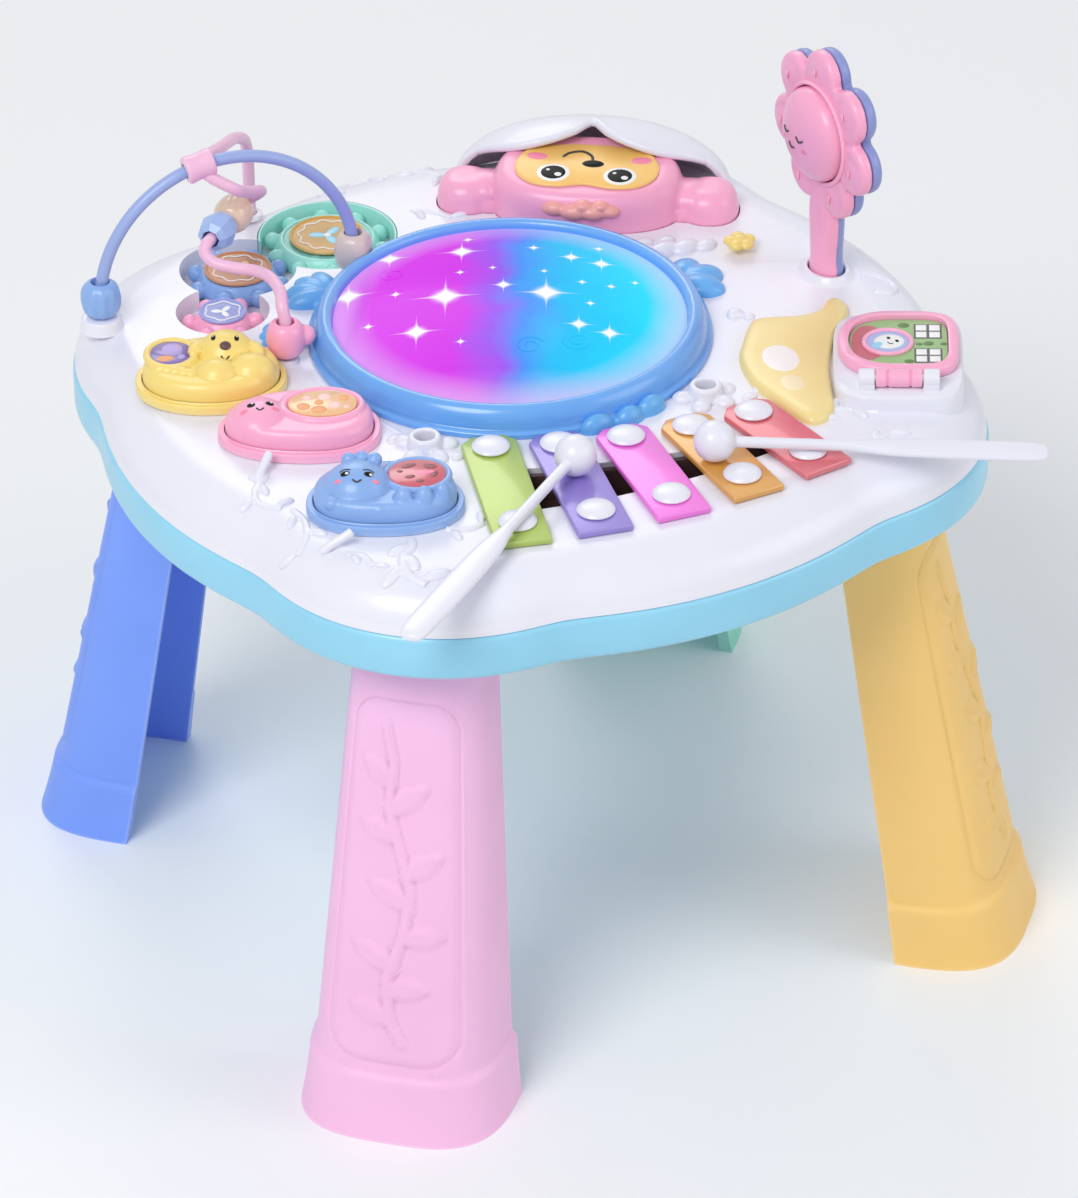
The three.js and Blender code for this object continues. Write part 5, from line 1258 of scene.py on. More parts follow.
def tray_ring_piece():
    """The thin rim round the mint gear's pocket, open towards the blue gear."""
    (teeth, x, y), (_, blue_x, blue_y) = GEARS["mint_gear"], GEARS["blue_gear"]
    outer = teeth * GEAR_MODULE / 2 + 4.1
    inner = outer - 1.2
    ring = spun([(outer, 252.3), (outer, 261.2), (outer - 0.3, 261.7), (outer - 0.9, 261.7),
                 (inner, 261.2), (inner, 252.3), (outer, 252.3)])
    mouth = placed(rod(26, 250, 264, 64), blue_x - x, blue_y - y)
    return placed(carved(ring, [mouth]), x, y)


for name, (finish, _, rgb, small_marks) in GEAR_LOOKS.items():
    finish_piece(name + "_wheel", gear_piece(name), finish, name, name)
    paints = [plastic(name + "_label", rgb), PRINT_WHITE, small_marks]
    finish_piece(name + "_print", badge_piece(name), paints, name, name + "_badge",
                 "printed label")
finish_piece("mint_tray_ring", tray_ring_piece(), MINT, stands_for="mint_gear_tray")

# %% [markdown]
# ## The bead arch and the wire
# A rigid moulded arch carries two beads, and a pink wire clipped round its top carries three
# more. Both are tubes along the same paths as the solids. Each bead is a ring of sections
# that goes up its outside and down its bore, so that one can see through it.

# %% Arch and wire
ARCH_HALF, ARCH_SPRING, TUBE_FOOT = 58.9, 273, 254.3
ARCH_MIDDLE = (Vector((*ARCH_START, 0)) + Vector((*ARCH_END, 0))) / 2 + UPWARD * ARCH_SPRING
ARCH_ALONG = (Vector((*ARCH_END, 0)) - Vector((*ARCH_START, 0))).normalized()
CLIP_ANGLE = radians(101)
WIRE_REACH, WIRE_RISE = 60, 68
REAR_SHARES = [
    (0, 0, 0.41), (-0.02, -0.02, 0.54), (-0.1, -0.13, 0.66), (-0.27, -0.32, 0.78),
    (-0.48, -0.57, 0.88), (-0.7, -0.8, 0.97),
]
ENTRY_SHARES = [
    (-0.08, 0.97, 0.94), (0.08, 0.9, 0.84), (0.23, 1, 0.74), (0.38, 1.12, 0.66),
    (0.44, 1.25, 0.58),
]
FRONT_SHARES = [
    (-0.2, 0.87, 0.46), (-0.17, 0.77, 0.42), (-0.07, 0.65, 0.41), (0.03, 0.52, 0.42),
    (0.06, 0.34, 0.44), (0.04, 0.15, 0.43), (0, 0.04, 0.38), (0, 0, 0.305),
]
THREAD = Vector((-88.2, 111, 296))
THREAD_AXIS = Vector((cos(radians(219)), sin(radians(219)), 0))
SLEEVE = [
    (3.4, -6.5), (5.4, -6.5), (6.1, -5.9), (6.3, -4.9), (6, -2.4), (5.8, 0), (6, 2.4),
    (6.3, 4.9), (6.1, 5.9), (5.4, 6.5), (3.4, 6.5), (3.4, -6.5),
]


def arch_point(angle):
    return ARCH_MIDDLE + ARCH_HALF * (ARCH_ALONG * cos(angle) + UPWARD * sin(angle))


def arch_piece():
    round_part = [arch_point(radians(180 - 3 * k)) for k in range(61)]
    points = [(*ARCH_START, TUBE_FOOT), (*ARCH_START, 262), *round_part, (*ARCH_END, 262),
              (*ARCH_END, TUBE_FOOT)]
    return tube(points, 2.8, 20)


def wire_points(shares, foot):
    return [(foot[0] + x * WIRE_REACH, foot[1] + y * WIRE_REACH, PLATEAU + z * WIRE_RISE)
            for x, y, z in shares]


def wire_piece():
    clip = arch_point(CLIP_ANGLE)
    start, end = THREAD - THREAD_AXIS * 20, THREAD + THREAD_AXIS * 20
    rear = smooth_line([*wire_points(REAR_SHARES, WIRE_REAR), clip], 60)
    entry = smooth_line([clip, *wire_points(ENTRY_SHARES, WIRE_FRONT), start], 60)
    leave = smooth_line([end, *wire_points(FRONT_SHARES, WIRE_FRONT)], 70)
    clip_axis = UPWARD * cos(CLIP_ANGLE) - ARCH_ALONG * sin(CLIP_ANGLE)
    return together([
        tube([(*WIRE_REAR, TUBE_FOOT), *rear], 2.7),
        tube([*entry, *leave, (*WIRE_FRONT, TUBE_FOOT)], 2.7),
        leaned(spun(SLEEVE, 40), clip_axis, clip),
    ])


finish_piece("arch_rod", arch_piece(), PERIWINKLE, stands_for="bead_arch",
             slot="periwinkle plastic")
finish_piece("curly_wire", wire_piece(), WIRE_PINK, stands_for="bead_wire")


# %% Beads
BORE = 4.0
WIRE_BEAD = (8.4, 7.98)  # radius and half length
HALF_STEP = THREAD_AXIS * (WIRE_BEAD[1] + 0.4)


def bead_form(radius, half, waves=0, depth=0.0, steps=48, rings=14):
    """Up the outside of the bead, down its bore: a ring of sections with no ends."""
    def section(reach, z):
        ripple = depth * (reach - BORE) / (radius - BORE)

        def point(turn):
            out = reach + ripple * cos(waves * 2 * pi * turn)
            return out * cos(2 * pi * turn), out * sin(2 * pi * turn)
        return point, z

    levels = [section(BORE, -half + 0.4)]
    for k in range(rings + 1):
        angle = pi * (k / rings - 0.5)
        reach = max(BORE + 0.2, radius * max(0, cos(angle)) ** 0.5)
        levels.append(section(reach, half * sin(angle)))
    return closed_loft(levels + [section(BORE, half - 0.4), levels[0]], steps)


def lobed_form():
    lobes = [ball((4.6, 4.6, 4.6), (8.6 * cos(a), 8.6 * sin(a), 0))
             for a in (radians(70), radians(-14))]
    return carved(melted([bead_form(8.6, 8.6), *lobes], 0.5, 3), [rod(BORE, -12, 12, 40)])


finish_piece("ribbed_bead", placed(bead_form(8.7, 8.4, 10, 0.35, 80), -149.9, 111, 275.7),
             GEAR_BLUE, "arch_bead_blue", "arch_bead_blue")
finish_piece("square_bead", placed(bead_form(8.5, 9, 4, 0.5, 64), *ARCH_END, 273.3),
             BEIGE, "arch_bead_beige", "arch_bead_beige", "beige bead plastic")
finish_piece("round_bead", leaned(bead_form(*WIRE_BEAD), THREAD_AXIS, THREAD - HALF_STEP),
             CREAM, "wire_bead_cream", "wire_bead_cream", "cream bead plastic")
facets = leaned(bead_form(*WIRE_BEAD, steps=8, rings=4), THREAD_AXIS, THREAD + HALF_STEP)
finish_piece("facet_bead", facets, GEAR_BLUE, "wire_bead_blue", "wire_bead_blue",
             sharp=radians(15))
finish_piece("lobed_bead", placed(lobed_form(), *WIRE_FRONT, 273.3), PINK, "wire_bead_pink",
             "wire_bead_pink")

# %% [markdown]
# ## Three piano keys
# Each key is a lumpy animal on an oval pad that sinks into a raised collar. The lumps are
# melted into the pad, as a sculptor's model is blended before the mould is cut. The printed
# window on each is a card under its own clear pane.

# %% Key values
KEY_LOW, KEY_TOP, WINDOW_LOW, WINDOW_TOP = 265.3, 274.5, 274.8, 275.95
LUMP_SINK = 3.7
KEY_STRETCH = 1.1
# head and lumps: x, y, half width, half depth, rise. balls: radii, place, turn, steps.
# frame: gap round the window, radius of the bead, height. spots and strokes: see marks.
# prints: shares of the window for place and size, turn, paint.
KEYS = {
    "yellow_key": {
        "place": (-131.5, 41.5), "outline": oval(29.5, 20.5, 2.1), "finish": YELLOW,
        "slot": "yellow plastic", "head": (6.5, 7, 13.5, 11, 9),
        "lumps": [(3, -9, 10, 8, 5.5), (17.5, -5.5, 11, 8.5, 5.5)],
        "balls": [
            ((6.4, 3.4, 2.6), (-5.6, 6, 277), 62, 32), ((6.4, 3.4, 2.6), (19, 5, 276.5), -58, 32),
            *(((3, 2.4, 2.2), (-8 - 3.4 * k, -10 + 1.1 * k, 274.4), 0, 32) for k in range(5)),
        ],
        "paints": [PRINT_BLACK, BROWN, PRINT_WHITE],
        "spots": [(0, 1.4, 5, 1.1, 1.5, 0.5), (0, 11.4, 4.4, 1.1, 1.5, 0.5),
                  (1, 6.6, 0.6, 2.5, 2, 1.1), (2, 1.4, 5.5, 0.4, 0.5, 0.8),
                  (2, 11.4, 4.9, 0.4, 0.5, 0.8)],
        "strokes": [(0, [(4.6, -2), (6.4, -2.9), (8.4, -2.1)], 0.35)],
        "window": (-17, 4, 9, 9), "frame": (1.4, 1.8, 274.9), "glass": "window purple plastic",
        "glass_colour": (0.45, 0.33, 0.66), "print_paints": [PALE_LILAC, PRINT_ORANGE],
        "prints": [(0.05, 0.3, 0.52, 0.5, 0, 1), (0.05, 0.3, 0.3, 0.28, 0, 0),
                   (-0.25, -0.5, 0.42, 0.26, 8, 2), (0.5, -0.35, 0.2, 0.2, 0, 1),
                   (0.3, 0.5, 0.1, 0.1, 0, 2)],
    },
    "pink_key": {
        "place": (-118, -15), "outline": oval(31.5, 18, 2.3, 0.12), "finish": PINK,
        "slot": "pink plastic", "head": (-17, -1.5, 12, 12.5, 5), "lumps": [], "balls": [],
        "paints": [PRINT_BLACK, PRINT_WHITE, BLUSH],
        "spots": [(0, -20, -2.4, 1.9, 1.5, 0.5, 12), (1, -19.5, -2, 0.6, 0.5, 0.9),
                  (0, -12.2, -0.8, 1.9, 1.5, 0.5, 12), (1, -11.7, -0.4, 0.6, 0.5, 0.9),
                  (2, -23, -5.4, 1.9, 1.2, 0.3, 12), (2, -9.8, -3.2, 1.9, 1.2, 0.3, 12)],
        "strokes": [(0, [(-17.8, -4.6), (-16.2, -5.7), (-14.6, -4.4)], 0.38)],
        "window": (10, 3.4, 14.6, 9.4), "frame": (2.1, 1.5, 274.7),
        "glass": "window peach plastic", "glass_colour": (0.95, 0.74, 0.5),
        "print_paints": [PRINT_ORANGE, PALE_ROSE],
        "prints": [(-0.55, -0.3, 0.2, 0.3, 0, 1), (-0.1, -0.55, 0.24, 0.3, 0, 1),
                   (0.35, -0.2, 0.2, 0.32, 0, 2), (0.05, 0.45, 0.2, 0.3, 0, 2),
                   (-0.45, 0.4, 0.14, 0.2, 0, 2), (0.62, 0.35, 0.16, 0.24, 0, 1),
                   (0.7, -0.35, 0.1, 0.16, 0, 2), (-0.1, 0.02, 0.14, 0.22, 0, 1)],
    },
    "blue_key": {
        "place": (-113.5, -84.5), "outline": oval(30, 18, 2.3), "finish": GEAR_BLUE,
        "slot": "gear blue plastic", "head": (-11.5, -0.5, 15, 13, 9),
        "lumps": [(7.6, -11.4, 4.6, 4.2, 5), (16.2, -10.8, 4.6, 4.2, 5), (23.6, -7.4, 4, 3.8, 4.4)],
        "balls": [
            *(((3.2, 2.6, 3.2), (x, y, 280.5), 0, 16) for x, y in ((-15, 8), (-9.5, 9), (-4, 7.6))),
            ((3.4, 3, 3), (-22, -11, 272), 0, 16), ((3.4, 3, 2.6), (-2, -15, 271.5), 0, 16),
        ],
        "paints": [PRINT_BLACK, PRINT_WHITE, BLUSH],
        "spots": [(0, -16.4, -4.6, 2.1, 1.3, 0.5, 5), (1, -15.6, -4.8, 0.9, 0.6, 0.9),
                  (0, -6.6, -5, 2.1, 1.3, 0.5, 5), (1, -5.8, -5.2, 0.9, 0.6, 0.9),
                  (2, -19.6, -6.6, 1.7, 0.9, 0.3), (2, -3.6, -7, 1.7, 0.9, 0.3)],
        "strokes": [(0, [(-18.7, -3), (-16.4, -2.4), (-14.1, -3.1)], 0.32),
                    (0, [(-8.9, -3.4), (-6.6, -2.8), (-4.3, -3.5)], 0.32),
                    (0, [(-13.4, -7.6), (-11.5, -8.6), (-9.6, -7.7)], 0.4)],
        "window": (13.4, 4.4, 12, 9.8), "frame": (1.4, 1.5, 274.7),
        "glass": "window red plastic", "glass_colour": (0.8, 0.26, 0.35),
        "print_paints": [DARK_RED, BLUSH],
        "prints": [(-0.3, 0.5, 0.3, 0.16, 20, 1), (0.45, 0.45, 0.26, 0.18, -15, 1),
                   (-0.25, -0.3, 0.2, 0.14, 10, 1), (0.6, -0.15, 0.2, 0.14, 60, 1),
                   (0.1, -0.62, 0.16, 0.12, 0, 1), (0.22, 0.02, 0.24, 0.2, 0, 2),
                   (0.5, 0.05, 0.12, 0.12, 0, 2), (-0.6, 0.1, 0.12, 0.1, 0, 1)],
    },
}
COLLAR_PROFILE = [  # how far out from the pad's outline, and the height
    (0.5, 266.6), (0.85, 266.2), (2.6, 266.2), (3.0, 265.6), (3.2, 264.8), (3.2, 262.3),
    (0.5, 262.3), (0.5, 266.6),
]
PAD_PROFILE = [
    (1, KEY_LOW), (1, 269.6), (0.985, 271.4), (0.955, 272.8), (0.915, 273.8), (0.87, 274.35),
    (0.83, 274.5),
]


def widened(outline, step):
    """The outline moved outwards by a distance."""
    def point(turn):
        x, y = outline(turn)
        ax, ay = outline(turn - 0.004)
        bx, by = outline(turn + 0.004)
        length = hypot(bx - ax, by - ay)
        return x + (by - ay) / length * step, y - (bx - ax) / length * step
    return point


def set_key(form, key):
    bmesh.ops.scale(form, vec=(1, KEY_STRETCH, 1), verts=form.verts)
    return placed(form, *key["place"], turn=KEY_TURN)


def collar_form(key):
    return closed_loft([(widened(key["outline"], step), z) for step, z in COLLAR_PROFILE], 120)


def key_body_form(key):
    forms = [crowned(key["outline"], PAD_PROFILE, 96)]
    for x, y, half_x, half_y, rise in (key["head"], *key["lumps"]):
        forms.append(ball((half_x, half_y, rise + LUMP_SINK), (x, y, KEY_TOP - LUMP_SINK)))
    for radii, place, turn, steps in key["balls"]:
        forms.append(placed(ball(radii, steps=steps), *place, turn))
    x, y, half_x, half_y = key["window"]
    gap, radius, height = key["frame"]
    ring = [(x + (half_x + gap) * cx, y + (half_y + gap) * cy, height) for cx, cy in circle(1, 60)]
    forms.append(tube(ring, radius, 12, cyclic=True))
    return carved(melted(forms, 0.6, 3), [box(-50, 50, -40, 40, 240, KEY_LOW + 0.05)])


def key_features_form(key):
    x, y, half_x, half_y, rise = key["head"]
    skin = dome(x, y, half_x, half_y, KEY_TOP - LUMP_SINK, rise + LUMP_SINK - 0.1)
    return together(marks(skin, key["spots"], key["strokes"]))


def window_form(key):
    x, y, half_x, half_y = key["window"]
    shape, smaller = oval(half_x, half_y, 2.2), oval(half_x - 0.6, half_y - 0.6, 2.2)
    pane = loft([(shape, WINDOW_LOW), (shape, 275.7), (smaller, 276)], 48)
    spots = [(index, px * half_x, py * half_y, sx * half_x, sy * half_y, 0.25, turn)
             for px, py, sx, sy, turn, index in key["prints"]]
    return placed(together([painted(pane, 0), *marks(flat_at(WINDOW_TOP), spots)]), x, y)


# %% Keys
for name, key in KEYS.items():
    finish_piece(name + "_collar", set_key(collar_form(key), key), key["finish"],
                 stands_for=name + "_base")
for name, key in KEYS.items():
    glass = plastic(key["glass"].replace(" plastic", "").replace(" ", "_"),
                    key["glass_colour"], 0.2, coat=0.6)
    finish_piece(name + "_body", set_key(key_body_form(key), key), key["finish"], name, name,
                 key["slot"])
    finish_piece(name + "_features", set_key(key_features_form(key), key), key["paints"],
                 name, name)
    finish_piece(name + "_pane", set_key(window_form(key), key), [glass, *key["print_paints"]],
                 name, name + "_window", key["glass"])

# %% [markdown]
# ## The monkey under its hood
# The head is a wide cushion with two ears that presses down as a button. Its face is a
# second moulding with printed features, and a white hood of two lobes stands behind it.

# %% Monkey
HEAD_TILT = 0.12
HEAD_PROFILE = [
    (1, 260.3), (1, 270), (0.995, 273), (0.98, 276), (0.955, 278.6), (0.92, 280.4), (0.88, 281.5),
    (0.83, 282),
]
EAR_PROFILE = [
    (1, 260.3), (1, 263.6), (0.985, 266.2), (0.94, 268.9), (0.86, 271.4), (0.74, 273.4),
    (0.57, 274.6), (0.4, 275),
]
CURLS = [  # x, y, size and height
    (-12, -23.6, 6.4, 273), (-3.6, -25.4, 6.6, 272.4), (4.6, -25.6, 6.2, 272.6),
    (12, -24.2, 5.4, 273), (0.6, -24.6, 4.6, 275.4), (8.4, -24.2, 4, 275.6),
]
FACE_OUTLINE = closed_line([
    (-32, 1), (-31, -9), (-23.5, -16), (-12, -17.6), (0, -15.4), (12, -17.6), (23.5, -16),
    (31, -9), (32, 1), (26, 10.5), (12, 13.6), (0, 14.2), (-12, 13.6), (-26, 10.5),
], 8)
EYES, EYE_SIZE = [(-14.5, -8.6), (15.5, -9.2)], 6.2
EYE_PARTS = [  # paint, then shares of the eye's size for place and radii, and the rise
    (2, 0, 0, 1.2, 1.08, 0.35), (1, 0, 0, 1, 0.9, 0.55), (2, 0.35, -0.25, 0.32, 0.28, 0.8),
    (2, -0.4, 0.25, 0.18, 0.16, 0.8),
]


def head_piece():
    forms = [crowned(oval(HEAD_HALF_X, HEAD_HALF_Y, 2.5), HEAD_PROFILE, 96, HEAD_TILT)]
    for side in (-1, 1):
        forms += [
            placed(crowned(oval(13, 14.5, 2.3), EAR_PROFILE), side * EAR_REACH),
            ball((11, 11.4, 7), (side * 46, 0, 269)),
            placed(prism(oval(9, 12, 2.2), 260.3, 267), side * NECK_REACH),
        ]
    return placed(melted(forms, 0.9, 4), **HEAD)


def fringe_piece():
    """Curls of salmon hair on the head's front edge."""
    forms = [ball((size, 4.2, size * 0.56), (x, y, z), 24) for x, y, size, z in CURLS]
    return placed(melted(forms, 0.6, 2), **HEAD)


def leaning(height):
    """A flat skin that rises with the head's tilt."""
    return lambda x, y: height + HEAD_TILT * y


def face_piece():
    steps = ((1, 282.3), (1, 282.9), (0.985, 283.3), (0.96, 283.5))
    plate = loft([(shrunk(FACE_OUTLINE, share), leaning(z)) for share, z in steps], 160)
    spots = [(paint, x + px * EYE_SIZE, y + py * EYE_SIZE, rx * EYE_SIZE, ry * EYE_SIZE, rise)
             for x, y in EYES for paint, px, py, rx, ry, rise in EYE_PARTS]
    spots += [(1, 2.6, -0.8, 5, 2.7, 0.6), (3, -23, 3.4, 4.8, 2.6, 0.3, -6),
              (3, 24, 3.2, 4.8, 2.6, 0.3, 6)]
    smile = [(1, [(-11.4, 3.4), (-8.6, 6.6), (-3, 8), (1.4, 5), (2.2, 1)], 0.65, 24)]
    return placed(together([painted(plate, 0), *marks(leaning(283.5), spots, smile)]), **HEAD)


finish_piece("monkey_cushion", head_piece(), PINK, "monkey", "monkey_head")
finish_piece("monkey_fringe", fringe_piece(), SALMON, "monkey", "monkey_head")
finish_piece("monkey_plate", face_piece(), [FACE_YELLOW, PRINT_BLACK, PRINT_WHITE, BLUSH],
             "monkey", "monkey_face")

# %% Hood
HOOD_HALF_X, HOOD_HALF_Y, HOOD_RISE, HOOD_WALL = 63, 33, 31, 3.4
HOOD_FOOT, HOOD_FULLNESS = 262, 2.2
HOOD_EDGE = [  # the right half of the front edge, in shares of the hood's halves
    (0.8, -0.12), (0.64, -0.27), (0.48, -0.34), (0.3, -0.3), (0.14, -0.16), (0.05, 0.05),
    (0, 0.2),
]


def hood_dome(inset, low):
    half_x, half_y = HOOD_HALF_X - inset, HOOD_HALF_Y - inset
    levels = [(oval(half_x, half_y, HOOD_FULLNESS), low)]
    for k in range(15):
        angle = pi / 2 * k / 14
        share = cos(angle) if k < 14 else 0.03
        top = HOOD_FOOT + (HOOD_RISE - inset) * sin(angle)
        levels.append((oval(half_x * share, half_y * share, HOOD_FULLNESS), top))
    return loft(levels, 96)


def lip_height(x, y):
    """The height of the middle of the hood's wall over a place."""
    inset = HOOD_WALL / 2
    shares = x / (HOOD_HALF_X - inset), y / (HOOD_HALF_Y - inset)
    out = sum(abs(share) ** HOOD_FULLNESS for share in shares) ** (2 / HOOD_FULLNESS)
    return HOOD_FOOT + (HOOD_RISE - inset) * sqrt(max(0.02, 1 - out))


def hood_piece():
    edge = smooth_line([(x * HOOD_HALF_X, y * HOOD_HALF_Y) for x, y in HOOD_EDGE], 30)
    front = [(1.3 * HOOD_HALF_X, -2 * HOOD_HALF_Y), (1.3 * HOOD_HALF_X, -0.06 * HOOD_HALF_Y)] + edge
    front += [(-x, y) for x, y in front[-2::-1]]
    form = carved(hood_dome(0, 250), [hood_dome(HOOD_WALL, 246), slab(front, 240, 300)])
    lips = [tube([(side * x, y + 1, lip_height(x, y + 1)) for x, y in edge], 2.3, 12)
            for side in (-1, 1)]
    form = placed(placed(melted([form, *lips], 0.85, 5), 0, 19), **HEAD)
    inset = SHELL_INSET - GAP
    ground = [(rim(inset), 236)] + [(outline, z + GAP) for outline, z in shell_form(inset, 0, 8)]
    return carved(form, [loft(ground, 128)])


finish_piece("hood_shell", hood_piece(), WHITE, stands_for="hood")

# %% [markdown]
# ## Banana, button, sockets and door
# A banana panel lies flush in the top with two printed ovals. Beside it a picture door
# turns on a steel pin between two knuckles. Two flower rings hold the beaters upright.

# %% Banana
BANANA_PROFILE = [
    (1, 260.9), (1, 263.2), (0.985, 264.4), (0.955, 265.3), (0.91, 265.9), (0.84, 266.25),
    (0.75, 266.4),
]


def banana_piece():
    skin = painted(crowned(banana_outline, BANANA_PROFILE, 160, middle=(-12, -4)), 0)
    ovals = [(1, -5.5, 4, 11.6, 8, 0.28, 20), (2, -25.5, -3, 7, 5, 0.28, 25)]
    return placed(together([skin, *marks(flat_at(266.35), ovals)]), **BANANA)


finish_piece("banana_cover", banana_piece(), [BANANA_SKIN, PALE_MARK, CREAM_MARK],
             stands_for="banana_panel")


# %% Flower button
def button_form():
    forms = [ball((3.4, 3.4, 2.2), (x, y, 266.6), 20) for x, y in circle(4.1, 5)]
    forms += [ball((3.6, 3.6, 2.4), (0, 0, 267.4), 20), rod(3, 264, 266, 24)]
    return placed(melted(forms, 0.35, 3), **BUTTON)


finish_piece("flower_push", button_form(), YELLOW, "flower_button", "flower_button")

# %% Beater sockets and moulded reliefs of the top
STEMS = [  # a stem's points and radius, and the size and number of its leaves
    ([(-142, -28), (-146, -38), (-154, -44), (-157, -54), (-151, -63)], 1.8, 4.6, 4),
    ([(-116, -111.5), (-119, -118), (-126, -123), (-129, -133), (-125, -142)], 2.5, 6.4, 4),
    ([(-100, -112), (-92, -117), (-84, -116)], 2, 4.6, 2),
    ([(-148, -66), (-147.6, -77), (-152, -87), (-159, -93)], 2, 4.8, 3),
    ([(-144, -108), (-139, -113), (-139, -121)], 1.8, 3.6, 2),
    ([(76, -114), (86, -111), (97, -114), (105, -122)], 2, 4.8, 4),
    ([(80, -137), (90, -141), (101, -138)], 1.8, 4.2, 3),
    ([(160, -16), (167, -22), (168, -31), (162, -36), (157, -33)], 2.3, 3, 0),
    ([(-14, 168), (-4, 171), (6, 176), (17, 174)], 1.8, 4.6, 3),
    ([(22, 168), (31, 170), (38, 163), (41, 153)], 1.8, 4.4, 3),
    ([(14, 133), (22, 127), (27, 118)], 1.7, 4, 2),
]
TWIGS = [  # two stems that reach over the collars of the pink and the blue key
    [(-151, -39, 261), (-147.5, -36.6, 264.5), (-143, -33.4, 267.6), (-140.6, -31.4, 269)],
    [(-152, -100, 260.5), (-147.5, -101.5, 264), (-142, -103, 267), (-139, -103.4, 268.6)],
]
LUMPS = [  # x, y, half width, half depth and rise
    (93.2, -20, 4.4, 3.6, 3), (97.5, -25, 3, 2.6, 2.2), (84, 47, 8.5, 5.4, 4),
    (94, 44, 8.5, 5.4, 4.4), (104, 41.5, 7.5, 5, 4), (113, 38.5, 5.5, 4, 3), (89, 53.5, 6, 4, 3.2),
    (99, 50.5, 5, 3.6, 3), (-84, -38, 5, 3.2, 1.6), (-61, -68, 4.4, 3, 1.8),
    (-68, -64, 3.6, 2.8, 1.8), (63, -84, 4, 3, 2), (70, -80, 3.4, 2.6, 1.8),
]


def socket_form(x, y, turn):
    """A ring with five petals, the first of them at the given turn."""
    ring = spun([(4.4, 262), (4.4, 268.2), (4.9, 269), (5.9, 269), (6.9, 268.3), (7.2, 267),
                 (7.2, 262), (4.4, 262)], 48)
    turns = [turn + 68 * k for k in range(5)]
    petals = [placed(ball((5.2, 4.3, 3.2), (0, 0, 262.4), 24), 9.6 * cos(radians(a)),
                     9.6 * sin(radians(a)), turn=a) for a in turns]
    return placed(carved(melted([ring, *petals], 0.6, 3), [rod(HOLDER_BORE, 250, 275)]), x, y)


def sprig(points, radius, leaf, count):
    """A moulded stem on the top with leaves that grow from it on alternate sides."""
    forms = [stroke(surface_height, points, radius, 26, lift=-radius * 0.3)]
    line = smooth_line(points, 60)
    for k in range(count):
        place = 8 + int(46 * k / max(1, count - 1))
        (ax, ay), (bx, by) = line[place - 3], line[place + 3]
        heading = atan2(by - ay, bx - ax) + radians(52 if k % 2 else -52)
        out = leaf + radius * 0.5
        x, y = line[place][0] + out * cos(heading), line[place][1] + out * sin(heading)
        forms.append(spot(surface_height, x, y, leaf, leaf * 0.46, 2, degrees(heading), 16))
    return forms


def relief_piece():
    forms = [form for values in STEMS for form in sprig(*values)]
    forms += [tube(smooth_line(points, 12), 2, 12) for points in TWIGS]
    forms += [spot(surface_height, *values, 12) for values in LUMPS]
    return melted(forms, 0.7, 2, 0.4)


def arch_sockets_form():
    post = [(0, 261), (9.6, 261), (9.4, 262.6), (9, 264), (9, 266), (8.4, 266.9), (7.2, 267.2),
            (3.4, 267.2), (3.4, 262), (0, 262)]
    collar = [(3.4, 262), (5.8, 262), (5.6, 263.6), (5, 264), (3.4, 264), (3.4, 262)]
    collars = [placed(spun(collar, 40), *end) for end in (ARCH_END, WIRE_FRONT, WIRE_REAR)]
    return together([placed(spun(post, 48), *ARCH_START), *collars])


def rattle_socket_form():
    steps = [(0.6, 262), (0.6, 264.6), (1, 265), (2.2, 265), (2.8, 264.4), (3.6, 263),
             (5.5, 262), (0.6, 262)]
    form = closed_loft([(widened(oval(7, 9.5), step), z) for step, z in steps], 64)
    return placed(form, **RATTLE)


for name, form in {
    "beater_socket_left": socket_form(*HOLDERS[0], -150),
    "beater_socket_right": socket_form(*HOLDERS[1], -200),
    "moulded_leaves": relief_piece(), "arch_sockets": arch_sockets_form(),
    "rattle_socket": rattle_socket_form(),
}.items():
    finish_piece(name, form, WHITE, stands_for="top_shell")

# %% Picture door
DOOR_PIN, DOOR_MIDDLE = 273.8, 31
CARD_LOW, CARD_TOP = 271.5, 272.7
PEEPHOLE_X, PEEPHOLE_RADIUS = -4.5, 10.2
CARD_WINDOWS, PANE_STEP, PANE_HALF, BOARD_HALF = [(12.8, 41), (12.8, 20.5)], 2.9, 2.3, 6
CARD_MARKS = [  # height over the card, then the spots and the strokes at it
    (0.5, [(1, -4, 31.5, 6.6, 6, 0.3, 20), (6, -8.4, 29, 3.2, 2.2, 0.3, 40)], []),
    (0.75, [(2, -4.2, 34, 0.8, 1.1, 0.3, 20), (2, -0.6, 31.6, 0.8, 1.1, 0.3, 20)],
     [(2, [(-4.6, 30.4), (-3.6, 29.2), (-2.2, 29.4)], 0.25)]),
    (0, [(7, 2.4, 46, 2.6, 2.08, 0.3), (7, 4.6, 15.6, 2.2, 1.76, 0.3),
         (7, 19.4, 30.6, 1.6, 1.28, 0.3), (7, 13, 30.8, 2.4, 1.92, 0.3),
         (7, 9, 30.2, 1.5, 1.2, 0.3)], []),
]
KNUCKLE = [(1.7, 10.4), (3.5, 10.4), (4, 10.9), (4, 16.8), (3.5, 17.3), (1.7, 17.3), (1.7, 10.4)]
HINGE = [
    (1.7, -9.9), (3.6, -9.9), (4, -9.4), (4, -5.6), (3.55, -5.2), (3.55, -4.6), (4, -4.2), (4, 4.2),
    (3.55, 4.6), (3.55, 5.2), (4, 5.6), (4, 9.4), (3.6, 9.9), (1.7, 9.9), (1.7, -9.9),
]
PIN = [(0, -17.3), (1.2, -17.3), (1.5, -17), (1.5, 17), (1.2, 17.3), (0, 17.3)]


